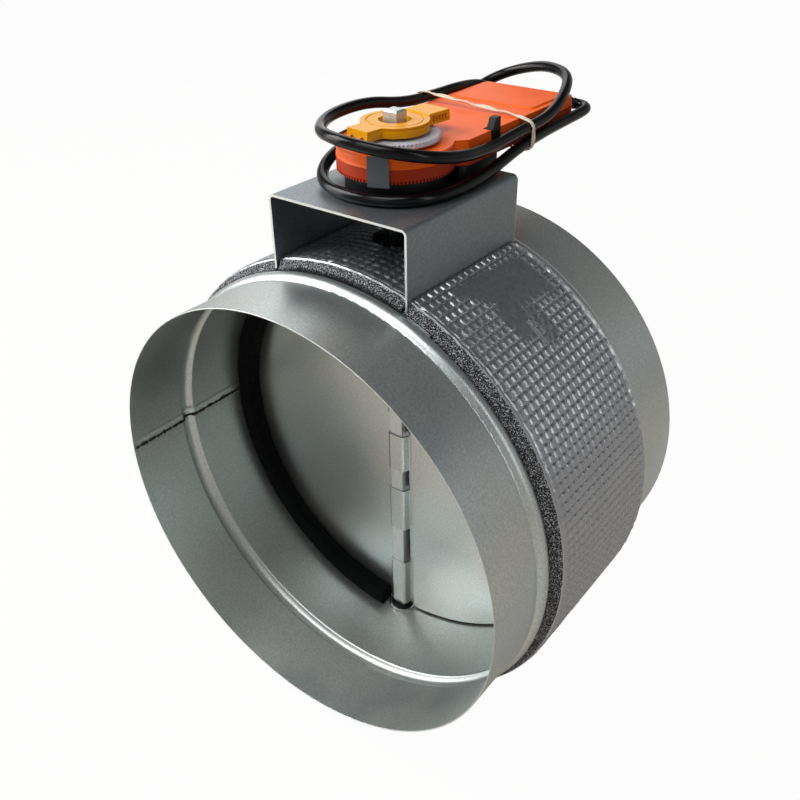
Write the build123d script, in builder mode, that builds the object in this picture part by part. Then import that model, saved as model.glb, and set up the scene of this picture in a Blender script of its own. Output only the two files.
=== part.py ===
"""Motorised round duct damper: insulated casing, blade on a square shaft and rotary actuator on a bridge.

The duct runs along Y, the shaft stands along Z, and the origin is the centre of the front spigot's open end.
Lengths are in millimetres, angles in degrees.
"""

import os
from math import asin, cos, degrees, radians, sin, tan

from build123d import *

os.makedirs("parts", exist_ok=True)

# Clearances
BAR_GAP = 0.1  # round fixed pieces that slide over or through one another
RUNNING_GAP = 0.05  # radial, in every bearing
SOFT_GAP = 0.3  # round foam, rubber and cable

# Duct casing
DUCT_RADIUS = 124.5  # outside of the 250 mm nominal spigots
DUCT_WALL = 0.6
DUCT_LENGTH = 188.0
BEAD_OFFSET = 52.5  # from the shaft to each rolled bead
BEAD_WIDTH = 9.0
BEAD_HEIGHT = 3.0
BEAD_BLEND = 1.5
SHAFT_Y = DUCT_LENGTH / 2
DUCT_BORE = DUCT_RADIUS - DUCT_WALL

# Insulation
FOAM_END_GAP = 0.5  # between the foam and the foot of each bead
FOAM_THICKNESS = 7.0
FOAM_CHAMFER = 3.0
FOAM_LENGTH = 2 * (BEAD_OFFSET - BEAD_WIDTH / 2 - FOAM_END_GAP)
FOIL_THICKNESS = 0.4
FOAM_INNER = DUCT_RADIUS + SOFT_GAP
FOAM_OUTER = FOAM_INNER + FOAM_THICKNESS
FOIL_OUTER = FOAM_OUTER + FOIL_THICKNESS
PAD_HOLE_RADIUS = 13.0
POCKET_RADIUS = 11.0

# Bridge bracket
BRACKET_WIDTH = 82.8
BRACKET_DEPTH = 92.8
BRACKET_SHEET = 1.2
BRACKET_BEND = 3.0
BRACKET_TOP = DUCT_RADIUS + 34.7
BRACKET_HOLE_RADIUS = 9.6
FOOT_LENGTH = 14.0
BRACKET_UNDERSIDE = BRACKET_TOP - BRACKET_SHEET

# Fasteners
RIVET_RADIUS = 1.6
RIVET_HEAD_RADIUS = 3.1
RIVET_HEAD = 1.0
RIVET_BULB_RADIUS = 2.3
RIVET_TAIL = 2.4
RIVET_OFFSET = 36.0
RIVET_TAPER = 40.0  # flank of the rivet's head
SCREW_RADIUS = 1.5
SCREW_HEAD_RADIUS = 3.0
SCREW_HEAD = 2.2
SCREW_HEAD_FILLET = 0.8
SCREW_POST_WALL = 0.8
BASE_SCREW_PLACES = [(-16, -14), (16, -14), (-20, 38), (20, 38)]
LOCATING_HOLE = (-3.5, -31.5)

# Square shaft and its bearings
BAR = 8.0
BAR_CHAMFER = 0.8
BAR_TOP = BRACKET_TOP + 35.8
BAR_BOTTOM = -DUCT_RADIUS - 5.5
JOURNAL_RADIUS = 6.5
RING_BARREL_RADIUS = 8.0
RING_FLANGE_RADIUS = 11.5
RING_FLANGE = 1.2
RING_CHAMFER = 0.3
LOWER_RING_RADIUS = 8.9
LOWER_RING_LEVEL = -DUCT_BORE + 1.6
RING_END = 2.5  # how far the lower ring stands out below the duct
BUSH_FLANGE_RADIUS = 10.5
BUSH_FLANGE = 1.6
LOWER_BUSH_RADIUS = 7.4
COLLAR_RADIUS = 6.9
COLLAR_FLUTES = 16
FLUTE_RADIUS = 0.7
WASHER_RADIUS = 7.6
WASHER_THICKNESS = 0.8
THRUST_GAP = 0.1  # axial play in the bearings

# Blade and seals
BLADE_GAP = 1.6  # between the blade's edge and the duct
BLADE_SHEET = 0.8
BLADE_RADIUS = DUCT_BORE - BLADE_GAP
STRAP_SHARES = (0.1, 0.22, 0.466, 0.687, 0.973)  # of the radius, where the sheet changes side of the bar
STRAP_EDGES = [BLADE_RADIUS * share for share in STRAP_SHARES]
STRAP_BEND = 1.2
STRAP_FOOT = 1.6  # how far each strap's flank leans out
STRAP_HALF_WIDTH = 8.0
BLADE_NOTCH = 8.2
SEAL_SIZE = 10.0
SEAL_END = 9.2

# Actuator base and housings
BASE_HEIGHT = 9.1
BASE_HEAD_RADIUS = 25.0
BASE_HALF_WIDTH = 28.5
BASE_FRONT = 16.0
BASE_REAR = 48.5
BASE_WALL = 2.0
BASE_CORNER = 3.0
BASE_TUBE_RADIUS = 9.5
BOSS_RADIUS = 3.4
HEAD_RADIUS = 28.6
BODY_HALF_WIDTH = 29.0
BODY_SHOULDER = 20.0
BODY_FACET = 6.0
BODY_REAR = 125.0
MIDDLE_SCREW_INSET = 4.6  # from the body's side to the housing screws beside the band
REAR_SCREW_INSET = 4.8
END_SCREW_INSET = 5.0  # from the body's rear wall to the screws there
MIDDLE_SCREW_X = BODY_HALF_WIDTH - MIDDLE_SCREW_INSET
REAR_SCREW_X = BODY_HALF_WIDTH - REAR_SCREW_INSET
END_SCREW_Y = BODY_REAR - END_SCREW_INSET
HOUSING_SCREW_PLACES = [(-MIDDLE_SCREW_X, 70), (MIDDLE_SCREW_X, 70), (-REAR_SCREW_X, END_SCREW_Y), (5, END_SCREW_Y)]
BODY_CORNER = 3.5
HOUSING_WALL = 1.6
LOWER_HEIGHT = 6.7
UPPER_HEIGHT = 5.5
UPPER_DRAFT = 5.0
EDGE_NOTCHES = 56
EDGE_PITCH = 3.6  # between the teeth along the head's lower edge
SEAM_GROOVE = 0.4  # depth and height of the groove under the seam of the shells
NOTCH_WIDTH = 0.9
NOTCH_DEPTH = 1.2
NOTCH_HEIGHT = 1.3
RIDGE_RADII = (24.0, 27.0)
RIDGE_WIDTH = 1.0
RIDGE_HEIGHT = 1.2
RIDGE_START = -60.0
RIDGE_SWEEP = 110.0
RIDGE_DRAFT = 8.0
PANEL_FRONT = 84.0
PANEL_INSET = 3.2
PANEL_HEIGHT = 0.8
PANEL_SLOPE = 45.0
HOUSING_BOTTOM = BRACKET_TOP + BASE_HEIGHT
HOUSING_SEAM = HOUSING_BOTTOM + LOWER_HEIGHT
HOUSING_TOP = HOUSING_SEAM + UPPER_HEIGHT
FLOOR_TOP = HOUSING_BOTTOM + HOUSING_WALL
CEILING = HOUSING_TOP - HOUSING_WALL

# Gear train: teeth and module of each meshing pair, output end first
OUTPUT_TEETH = 44
FIRST_PINION_TEETH = 11
FIRST_MODULE = 1.0
SECOND_WHEEL_TEETH = 36
SECOND_PINION_TEETH = 10
SECOND_MODULE = 0.8
THIRD_WHEEL_TEETH = 40
MOTOR_PINION_TEETH = 10
THIRD_MODULE = 0.7
OUTPUT_FACE = 3.0
GEAR_FACE = 2.0
LEVEL_GAP = 0.4
GEAR_PIN_RADIUS = 1.5
SPINDLE_RADIUS = 1.0
PINION_HUB_RADIUS = 2.6
MOTOR_RADIUS = 11.5
MOTOR_EAR = 15.5
MOTOR_PLATE = 1.0
MOTOR_POST_RADIUS = 2.2
FIRST_AXIS = (OUTPUT_TEETH + FIRST_PINION_TEETH) * FIRST_MODULE / 2
SECOND_AXIS = FIRST_AXIS + (SECOND_WHEEL_TEETH + SECOND_PINION_TEETH) * SECOND_MODULE / 2
MOTOR_AXIS = SECOND_AXIS + (THIRD_WHEEL_TEETH + MOTOR_PINION_TEETH) * THIRD_MODULE / 2
LEVEL_ONE = FLOOR_TOP + THRUST_GAP
LEVEL_TWO = LEVEL_ONE + OUTPUT_FACE + LEVEL_GAP
LEVEL_THREE = LEVEL_TWO + GEAR_FACE + LEVEL_GAP

# Hub, disc and adapter on top of the head
HUB_JOURNAL_RADIUS = 9.0
HUB_RADIUS = 10.0
HUB_NECK_RADIUS = 9.5
HUB_BORE = 6.2
HUB_SOCKET = 8.0
SOCKET_FLOOR = BRACKET_TOP + 16.9
DISC_LEVEL = BRACKET_TOP + 22.8
DISC_THICKNESS = 2.2
DISC_RADIUS = 21.9
DISC_TEETH = 37
DISC_TEETH_START = -52.0
DISC_TEETH_SWEEP = 200.0
DISC_NOTCH = 1.4  # side of the square notches, set cornerwise between the disc's teeth
DISC_NOTCH_DEPTH = 1.3  # below the disc's top, which leaves a plain rim under the teeth
DISC_TAB_ANGLE = 157.0
DISC_TAB_REACH = 28.0
DISC_TAB_WIDTH = 3.0
DISC_TAB_HEIGHT = 3.6
POINTER = [(20.5, -50.0), (27.6, -71.0), (27.0, -76.0), (20.5, -80.0)]  # radius and angle of each corner
ADAPTER_LEVEL = BRACKET_TOP + 26.45
ADAPTER_RADIUS = 16.6
ADAPTER_BORE = 8.0
ADAPTER_HEIGHT = 4.75
ADAPTER_FLOOR = 1.0
ADAPTER_TURN = -7.0
FRONT_LUG_WIDTH = 13.4
FRONT_LUG_REACH = 24.5
REAR_LUG_WIDTH = 16.8
REAR_LUG_START = 15.0
REAR_LUG_REACH = 29.3
REAR_LUG_RISE = 0.6
LUG_CHAMFER = 0.4
ADAPTER_GROOVES = (10.4, 13.6)
GROOVE_WIDTH = 0.7
GROOVE_DEPTH = 0.5
RIM_GROOVE_LEVEL = 3.5  # of the groove round the adapter's wall, above its foot
RIM_GROOVE_DEPTH = 0.35
LUG_ARCH_RADIUS = 1.9  # of the two arched recesses in the front lug's face
LUG_ARCH_DEPTH = 1.4
LUG_RIBS = 5  # pockets between the ribs in the rear lug's side
LUG_POCKET = 1.2
LUG_POCKET_PITCH = 2.1
LUG_POCKET_DEPTH = 1.0

# End stops, release button, board and cable outlet
CLIP_ANGLES = {"end_stop_front": -68.0, "end_stop_rear": -172.0}
CLIP_WIDTH = 10.5
CLIP_SHEET = 0.9
CLIP_GAP = 0.15
CLIP_FOOT_START = 25.4
CLIP_BOTTOM = BRACKET_TOP + 7.7
CLIP_TOP = BRACKET_TOP + 22.0
BUTTON_FRONT = 40.0
BUTTON_WIDTH = 7.0
BUTTON_SLANT = 2.6
BUTTON_BOTTOM = BRACKET_TOP + 12.8
BUTTON_TOP = BRACKET_TOP + 26.8
BUTTON_FACE = 29.4
BUTTON_FLANGE = 1.5
BUTTON_LIP = 1.5
BUTTON_TRAVEL = 2.0
BOARD_WIDTH = 44.0
BOARD_LENGTH = 36.0
BOARD_THICKNESS = 1.6
BOARD_START = 78.0
BOARD_STANDOFF = 1.8
BOARD_EDGE = 3.0  # from the board's edges to its holes
BOARD_CORNER = 1.5
TALL_PARTS = 4.2
CAN_PARTS = 4.6
FLAT_PARTS = 1.4
OUTLET_X = 20.0
OUTLET_Z = BRACKET_TOP + 14.4
GROMMET_RADIUS = 5.4
GROMMET_NECK = 4.2
GROMMET_FLANGE = 1.9

# Cable: places from the shaft and above the bracket, in the order it is coiled round the actuator
CORD_RADIUS = 2.9
CORD_ROUTE = [
    (20, 127, 14.4), (20, 131.3, 14.4), (22.6, 134.8, 14), (26.7, 136.1, 13.6), (30.8, 134.8, 13.3),
    (33.4, 131.3, 13), (33.7, 123.4, 12.5), (33.3, 109.5, 11.9), (32.8, 86, 10.9),
    (33.4, 60, 9.1), (33.8, 33, 4.1), (35, 8, 3), (31.5, -17, 3),
    (14, -32, 3), (-11, -33, 3), (-29, -23.5, 4.8), (-36.3, -4, 10.8), (-34.5, 24, 13.6),
    (-33.8, 58, 13.8), (-34.6, 90, 13), (-37.8, 112, 13.2), (-37.8, 130, 16.4), (-29.5, 141.5, 22),
    (-13.5, 143.5, 27.6), (4, 139, 31.2), (21.5, 129.5, 30.4), (30.5, 111, 26), (34, 88, 18.2),
    (33.2, 58, 17), (33.6, 28, 15.4), (35, 2, 18.4), (29.5, -19.5, 23.1), (12.5, -32.8, 26.8),
    (-9, -34.8, 28.8), (-27, -24.5, 27.4), (-37.5, -5, 28.4), (-36, 22, 29.4), (-32.6, 48, 24),
    (-33.4, 76, 22.1), (-32.6, 97, 22.2), (-33.5, 111.5, 21), (-32.8, 123, 19.4), (-27.8, 131.8, 16),
    (-19, 136.6, 13.4), (-8.5, 136.6, 11.8), (2, 134.2, 11.2),
]
BAND_PLACE = 67.0
BAND_RUNS = (8, 18, 27, 37)  # the runs of the cable that the band holds, by the point before each
BAND_WIDTH = 2.4
BAND_THICKNESS = 0.9


def deck(height: float) -> Plane:
    """Level plane at a height, centred on the shaft."""
    return Plane((0, SHAFT_Y, height))


def tilted_deck(height: float, angle: float) -> Plane:
    """Level plane at a height, centred on the shaft and turned about it."""
    return Plane((0, SHAFT_Y, height), x_dir=(cos(radians(angle)), sin(radians(angle)), 0))


def polar(radius: float, angle: float) -> tuple:
    """Flat coordinates of a point given by its radius and angle."""
    return radius * cos(radians(angle)), radius * sin(radians(angle))


def gear_shape(height: float, place: float, teeth: int, module: float, first_tooth: float) -> Sketch:
    """Straight-flanked gear outline on the line of gears, with one tooth centred at the angle first_tooth."""
    pitch = teeth * module / 2
    half_tooth = 360 / teeth / 4
    rings = ((pitch - 1.2 * module, 1.45), (pitch, 0.86), (pitch + 0.85 * module, 0.42))
    flank = [(radius, -share) for radius, share in rings]
    flank += [(radius, share) for radius, share in reversed(rings)]
    points = []
    for tooth in range(teeth):
        centre = first_tooth + tooth * 360 / teeth
        points += [polar(radius, centre + share * half_tooth) for radius, share in flank]
    with BuildSketch(Plane((0, SHAFT_Y + place, height))) as shape:
        with BuildLine():
            Polyline(*points, close=True)
        make_face()
    return shape.sketch


def body_shape(height: float, inset: float) -> Sketch:
    """Outline of the actuator's round head and long body, drawn in by an inset."""
    with BuildSketch(deck(height)) as shape:
        Polygon(
            (-BODY_HALF_WIDTH + BODY_FACET, 0),
            (BODY_HALF_WIDTH - BODY_FACET, 0),
            (BODY_HALF_WIDTH - BODY_FACET, BODY_SHOULDER - BODY_FACET),
            (BODY_HALF_WIDTH, BODY_SHOULDER),
            (BODY_HALF_WIDTH, BODY_REAR),
            (-BODY_HALF_WIDTH, BODY_REAR),
            (-BODY_HALF_WIDTH, BODY_SHOULDER),
            (-BODY_HALF_WIDTH + BODY_FACET, BODY_SHOULDER - BODY_FACET),
            align=None,
        )
        fillet(shape.vertices().group_by(Axis.Y)[-1], BODY_CORNER)
        Circle(HEAD_RADIUS)
        if inset:
            offset(amount=-inset)
    return shape.sketch


# Casing: one rolled tube with two beads, its bearing holes in line with the shaft
bead_radius = ((BEAD_WIDTH / 2) ** 2 + BEAD_HEIGHT**2) / (2 * BEAD_HEIGHT)
bead_centre = DUCT_RADIUS + BEAD_HEIGHT - bead_radius
bead_places = [(bead_centre, SHAFT_Y - BEAD_OFFSET), (bead_centre, SHAFT_Y + BEAD_OFFSET)]
with BuildPart() as duct_casing:
    with BuildSketch(Plane.XY) as casing_wall:
        Rectangle(DUCT_RADIUS, DUCT_LENGTH, align=(Align.MIN, Align.MIN))
        with Locations(*bead_places):
            Circle(bead_radius)
        Rectangle(DUCT_BORE, DUCT_LENGTH, align=(Align.MIN, Align.MIN), mode=Mode.SUBTRACT)
        with Locations(*bead_places):
            Circle(bead_radius - DUCT_WALL, mode=Mode.SUBTRACT)
        bead_roots = casing_wall.vertices().filter_by_position(Axis.Y, 1, DUCT_LENGTH - 1)
        fillet(bead_roots, BEAD_BLEND)
    revolve(axis=Axis.Y)
    with BuildSketch(deck(0)):
        Circle(RING_BARREL_RADIUS + BAR_GAP)
    extrude(amount=DUCT_RADIUS + BEAD_HEIGHT, both=True, mode=Mode.SUBTRACT)

# Bridge bracket: one bent strip whose feet lie tangent to the duct
half_width = BRACKET_WIDTH / 2
foot_angle = degrees(asin((BRACKET_WIDTH + FOOT_LENGTH) / 2 / DUCT_RADIUS))
foot_line_top = (DUCT_RADIUS + BAR_GAP) / cos(radians(foot_angle))
foot_tip = half_width + FOOT_LENGTH * cos(radians(foot_angle))


def foot_height(x: float) -> float:
    """Height of the foot's underside at a distance from the middle plane."""
    return foot_line_top - x * tan(radians(foot_angle))


wall_line = half_width - BRACKET_SHEET
with BuildPart() as actuator_bracket:
    with BuildSketch(Plane.XZ.offset(BRACKET_DEPTH / 2 - SHAFT_Y)):
        with BuildLine():
            FilletPolyline(
                (-foot_tip, foot_height(foot_tip)),
                (-wall_line, foot_height(wall_line)),
                (-wall_line, BRACKET_UNDERSIDE),
                (wall_line, BRACKET_UNDERSIDE),
                (wall_line, foot_height(wall_line)),
                (foot_tip, foot_height(foot_tip)),
                radius=BRACKET_BEND - BRACKET_SHEET,
            )
            offset(amount=BRACKET_SHEET, side=Side.LEFT)
        make_face()
    extrude(amount=-BRACKET_DEPTH)

# Holes for the rivets and screws that hold the bracket and the actuator
rivet_x = (half_width + foot_tip) / 2
rivet_planes = [
    Plane(
        (side * rivet_x, SHAFT_Y + place, foot_height(rivet_x)),
        z_dir=(side * sin(radians(foot_angle)), 0, cos(radians(foot_angle))),
    )
    for side in (-1, 1)
    for place in (-RIVET_OFFSET, RIVET_OFFSET)
]
with duct_casing:
    with BuildSketch(*rivet_planes):
        Circle(RIVET_RADIUS + BAR_GAP)
    extrude(amount=RIVET_TAIL, both=True, mode=Mode.SUBTRACT)
with actuator_bracket:
    with BuildSketch(*rivet_planes):
        Circle(RIVET_RADIUS + BAR_GAP)
    extrude(amount=RIVET_TAIL, both=True, mode=Mode.SUBTRACT)
    with BuildSketch(deck(BRACKET_UNDERSIDE)):
        Circle(BRACKET_HOLE_RADIUS)
        with Locations(*BASE_SCREW_PLACES, LOCATING_HOLE):
            Circle(SCREW_RADIUS + BAR_GAP)
    extrude(amount=BRACKET_SHEET, mode=Mode.SUBTRACT)

# Blind rivets: a tapered head on each foot and a bulb under the duct wall
with BuildPart() as bracket_rivets:
    for plane in rivet_planes:
        with BuildSketch(plane.offset(-RIVET_TAIL)):
            Circle(RIVET_BULB_RADIUS)
        extrude(amount=RIVET_TAIL - DUCT_WALL - 2 * BAR_GAP)
        with BuildSketch(plane.offset(-RIVET_TAIL)):
            Circle(RIVET_RADIUS)
        extrude(amount=RIVET_TAIL + BRACKET_SHEET)
        with BuildSketch(plane.offset(BRACKET_SHEET)):
            Circle(RIVET_HEAD_RADIUS)
        extrude(amount=RIVET_HEAD, taper=RIVET_TAPER)

# Foam: a sleeve with a window for the bracket and pockets for its feet, and a pad that fills the window
sleeve_window = half_width + SOFT_GAP
pad_half_width = wall_line - SOFT_GAP
foot_room = (BRACKET_SHEET + RIVET_HEAD + SOFT_GAP) / cos(radians(foot_angle))
pocket_end = foot_tip + BRACKET_SHEET
with BuildSketch(Plane.XY) as foam_profile:
    Polygon(
        (FOAM_INNER, SHAFT_Y - FOAM_LENGTH / 2),
        (FOAM_INNER, SHAFT_Y + FOAM_LENGTH / 2),
        (FOAM_OUTER, SHAFT_Y + FOAM_LENGTH / 2 - FOAM_CHAMFER),
        (FOAM_OUTER, SHAFT_Y - FOAM_LENGTH / 2 + FOAM_CHAMFER),
        align=None,
    )
with BuildSketch(Plane.XY) as foil_profile:
    with Locations((FOAM_OUTER, SHAFT_Y)):
        Rectangle(FOIL_THICKNESS, FOAM_LENGTH - 2 * FOAM_CHAMFER, align=(Align.MIN, Align.CENTER))
with BuildSketch(Plane.XZ) as window_shape:
    Rectangle(2 * sleeve_window, 2 * FOIL_OUTER, align=(Align.CENTER, Align.MIN))
with BuildSketch(Plane.XZ) as pad_shape:
    Rectangle(2 * pad_half_width, 2 * FOIL_OUTER, align=(Align.CENTER, Align.MIN))

with BuildPart() as insulation_sleeve:
    revolve(foam_profile.sketch, axis=Axis.Y)
    extrude(window_shape.sketch, amount=DUCT_LENGTH, both=True, mode=Mode.SUBTRACT)
    with BuildSketch(Plane.XZ):
        for side in (-1, 1):
            Polygon(
                (side * half_width, foot_height(half_width) + foot_room),
                (side * pocket_end, foot_height(pocket_end) + foot_room),
                (side * pocket_end, foot_height(pocket_end) - foot_room),
                (side * half_width, foot_height(half_width) - foot_room),
                align=None,
            )
    extrude(amount=DUCT_LENGTH, both=True, mode=Mode.SUBTRACT)
    with BuildSketch(deck(0)):
        Circle(POCKET_RADIUS)
    extrude(amount=-FOIL_OUTER, mode=Mode.SUBTRACT)

with BuildPart() as insulation_pad:
    revolve(foam_profile.sketch, axis=Axis.Y)
    extrude(pad_shape.sketch, amount=DUCT_LENGTH, both=True, mode=Mode.INTERSECT)
    with BuildSketch(deck(0)):
        Circle(PAD_HOLE_RADIUS)
    extrude(amount=FOIL_OUTER, mode=Mode.SUBTRACT)

with BuildPart() as sleeve_foil:
    revolve(foil_profile.sketch, axis=Axis.Y)
    extrude(window_shape.sketch, amount=DUCT_LENGTH, both=True, mode=Mode.SUBTRACT)

with BuildPart() as pad_foil:
    revolve(foil_profile.sketch, axis=Axis.Y)
    extrude(pad_shape.sketch, amount=DUCT_LENGTH, both=True, mode=Mode.INTERSECT)
    with BuildSketch(deck(0)):
        Circle(PAD_HOLE_RADIUS)
    extrude(amount=FOIL_OUTER, mode=Mode.SUBTRACT)

# Bearing rings in the duct wall
upper_ring_top = DUCT_RADIUS + BAR_GAP + RING_FLANGE
lower_ring_end = -DUCT_RADIUS - RING_END
with BuildPart() as upper_bearing_ring:
    with BuildSketch(deck(upper_ring_top)):
        Circle(RING_FLANGE_RADIUS)
    extrude(amount=-RING_FLANGE)
    with BuildSketch(deck(upper_ring_top)):
        Circle(RING_BARREL_RADIUS)
    extrude(amount=DUCT_BORE - SOFT_GAP - upper_ring_top)
    with BuildSketch(deck(upper_ring_top)):
        Circle(JOURNAL_RADIUS + RUNNING_GAP)
    extrude(amount=DUCT_BORE - SOFT_GAP - upper_ring_top, mode=Mode.SUBTRACT)
    top_circles = upper_bearing_ring.edges().filter_by(GeomType.CIRCLE).group_by(Axis.Z)[-1]
    chamfer(top_circles.sort_by(SortBy.RADIUS)[-1], RING_CHAMFER)

with BuildPart() as lower_bearing_ring:
    with BuildSketch(deck(LOWER_RING_LEVEL)):
        Circle(LOWER_RING_RADIUS)
    extrude(amount=-RING_FLANGE)
    with BuildSketch(deck(LOWER_RING_LEVEL)):
        Circle(RING_BARREL_RADIUS)
    extrude(amount=lower_ring_end - LOWER_RING_LEVEL)
    with BuildSketch(deck(LOWER_RING_LEVEL)):
        Circle(JOURNAL_RADIUS + RUNNING_GAP)
    extrude(amount=lower_ring_end - LOWER_RING_LEVEL, mode=Mode.SUBTRACT)

# Square shaft, its bushes and the washer that keeps it down
with BuildPart() as drive_shaft:
    with BuildSketch(deck(BAR_BOTTOM)):
        Rectangle(BAR, BAR)
    extrude(amount=BAR_TOP - BAR_BOTTOM)
    chamfer(drive_shaft.faces().filter_by(Axis.Z).edges(), BAR_CHAMFER)

bush_bottom = upper_ring_top + THRUST_GAP
bush_top = BRACKET_UNDERSIDE - 2 * SOFT_GAP
with BuildPart() as upper_bush:
    with BuildSketch(deck(bush_bottom)):
        Circle(JOURNAL_RADIUS)
    extrude(amount=DUCT_BORE - SOFT_GAP - bush_bottom)
    with BuildSketch(deck(bush_bottom)):
        Circle(BUSH_FLANGE_RADIUS)
    extrude(amount=BUSH_FLANGE)
    with BuildSketch(deck(bush_bottom + BUSH_FLANGE)):
        Circle(COLLAR_RADIUS)
        with PolarLocations(COLLAR_RADIUS, COLLAR_FLUTES):
            Circle(FLUTE_RADIUS, mode=Mode.SUBTRACT)
    extrude(amount=bush_top - bush_bottom - BUSH_FLANGE)
    with BuildSketch(deck(bush_top)):
        Rectangle(BAR + 2 * BAR_GAP, BAR + 2 * BAR_GAP)
    extrude(amount=DUCT_BORE - SOFT_GAP - bush_top, mode=Mode.SUBTRACT)

washer_top = lower_ring_end - 2 * THRUST_GAP
with BuildPart() as lower_bush:
    with BuildSketch(deck(LOWER_RING_LEVEL + THRUST_GAP)):
        Circle(LOWER_BUSH_RADIUS)
    extrude(amount=RING_FLANGE)
    with BuildSketch(deck(LOWER_RING_LEVEL + THRUST_GAP)):
        Circle(JOURNAL_RADIUS)
    extrude(amount=washer_top - LOWER_RING_LEVEL - THRUST_GAP)
    with BuildSketch(deck(washer_top)):
        Rectangle(BAR + 2 * BAR_GAP, BAR + 2 * BAR_GAP)
    extrude(amount=LOWER_RING_LEVEL + THRUST_GAP + RING_FLANGE - washer_top, mode=Mode.SUBTRACT)

with BuildPart() as retaining_washer:
    with BuildSketch(deck(washer_top)):
        Circle(WASHER_RADIUS)
        Rectangle(BAR + 2 * BAR_GAP, BAR + 2 * BAR_GAP, mode=Mode.SUBTRACT)
    extrude(amount=-WASHER_THICKNESS)

# Blade: a round sheet slit across its middle, its straps pressed out in turn to either side of the bar
strap_levels = sorted([-edge for edge in STRAP_EDGES] + list(STRAP_EDGES))
strap_crest = BAR / 2 + BAR_GAP
strap_corner = strap_crest + BLADE_SHEET / 2
with BuildPart() as damper_blade:
    with BuildSketch(Plane.XZ.offset(-SHAFT_Y)):
        Circle(BLADE_RADIUS)
        Rectangle(2 * STRAP_HALF_WIDTH, 2 * STRAP_EDGES[-1], mode=Mode.SUBTRACT)
        for end in (-1, 1):
            with Locations((0, end * BLADE_RADIUS)):
                Rectangle(2 * BLADE_NOTCH, 2 * (BLADE_RADIUS - STRAP_EDGES[-1]), mode=Mode.SUBTRACT)
    extrude(amount=BLADE_SHEET / 2, both=True)
    for index, (bottom, top) in enumerate(zip(strap_levels, strap_levels[1:])):
        side = 1 if index % 2 else -1
        with BuildSketch(deck(bottom)):
            with BuildLine():
                FilletPolyline(
                    (-STRAP_HALF_WIDTH, -side * BLADE_SHEET / 2),
                    (-strap_corner - STRAP_FOOT, -side * BLADE_SHEET / 2),
                    (-strap_corner, side * strap_crest),
                    (strap_corner, side * strap_crest),
                    (strap_corner + STRAP_FOOT, -side * BLADE_SHEET / 2),
                    (STRAP_HALF_WIDTH, -side * BLADE_SHEET / 2),
                    radius=STRAP_BEND,
                )
                offset(amount=BLADE_SHEET, side=Side.LEFT if side > 0 else Side.RIGHT)
            make_face()
        extrude(amount=top - bottom)

# Seals: a half ring each side of the blade, so that the closed blade lies against both
seal_outer = DUCT_BORE - SOFT_GAP
seal_offset = BLADE_SHEET / 2 + SOFT_GAP + SEAL_SIZE / 2
seals = {}
for name, side in (("front_seal", -1), ("rear_seal", 1)):
    with BuildPart() as seals[name]:
        with BuildSketch(Plane.XY):
            with Locations((seal_outer - SEAL_SIZE / 2, SHAFT_Y + side * seal_offset)):
                Rectangle(SEAL_SIZE, SEAL_SIZE)
        revolve(axis=Axis.Y)
        split(bisect_by=Plane.YZ.offset(side * SEAL_END), keep=Keep.TOP if side > 0 else Keep.BOTTOM)

# Actuator base: an open tray with a tube for the shaft and bosses for the screws from below
with BuildPart() as actuator_base:
    with BuildSketch(deck(BRACKET_TOP)) as base_outline:
        with Locations((0, (BASE_FRONT + BASE_REAR) / 2)):
            Rectangle(2 * BASE_HALF_WIDTH, BASE_REAR - BASE_FRONT)
        fillet(base_outline.vertices(), BASE_CORNER)
        Circle(BASE_HEAD_RADIUS)
        Rectangle(BASE_HEAD_RADIUS, BASE_FRONT + BASE_WALL, align=(Align.CENTER, Align.MIN))
    extrude(amount=BASE_HEIGHT)
    with BuildSketch(deck(BRACKET_TOP + BASE_WALL)) as base_inside:
        with Locations((0, (BASE_FRONT + BASE_REAR) / 2)):
            Rectangle(2 * (BASE_HALF_WIDTH - BASE_WALL), BASE_REAR - BASE_FRONT - 2 * BASE_WALL)
        Circle(BASE_HEAD_RADIUS - BASE_WALL)
        with Locations(*BASE_SCREW_PLACES):
            Circle(BOSS_RADIUS, mode=Mode.SUBTRACT)
        Circle(BASE_TUBE_RADIUS + BASE_WALL, mode=Mode.SUBTRACT)
    extrude(amount=BASE_HEIGHT, mode=Mode.SUBTRACT)
    with BuildSketch(deck(BRACKET_TOP)):
        Circle(BASE_TUBE_RADIUS)
        with Locations(*BASE_SCREW_PLACES):
            Circle(SCREW_RADIUS + RUNNING_GAP)
    extrude(amount=BASE_HEIGHT, mode=Mode.SUBTRACT)

with BuildPart() as base_screws:
    with BuildSketch(deck(BRACKET_UNDERSIDE)):
        with Locations(*BASE_SCREW_PLACES):
            Circle(SCREW_HEAD_RADIUS)
    extrude(amount=-SCREW_HEAD)
    with BuildSketch(deck(BRACKET_UNDERSIDE)):
        with Locations(*BASE_SCREW_PLACES):
            Circle(SCREW_RADIUS)
    extrude(amount=BRACKET_SHEET + BASE_HEIGHT - BASE_WALL / 2)
    fillet(base_screws.edges().filter_by(GeomType.CIRCLE).group_by(Axis.Z)[0], SCREW_HEAD_FILLET)

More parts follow.
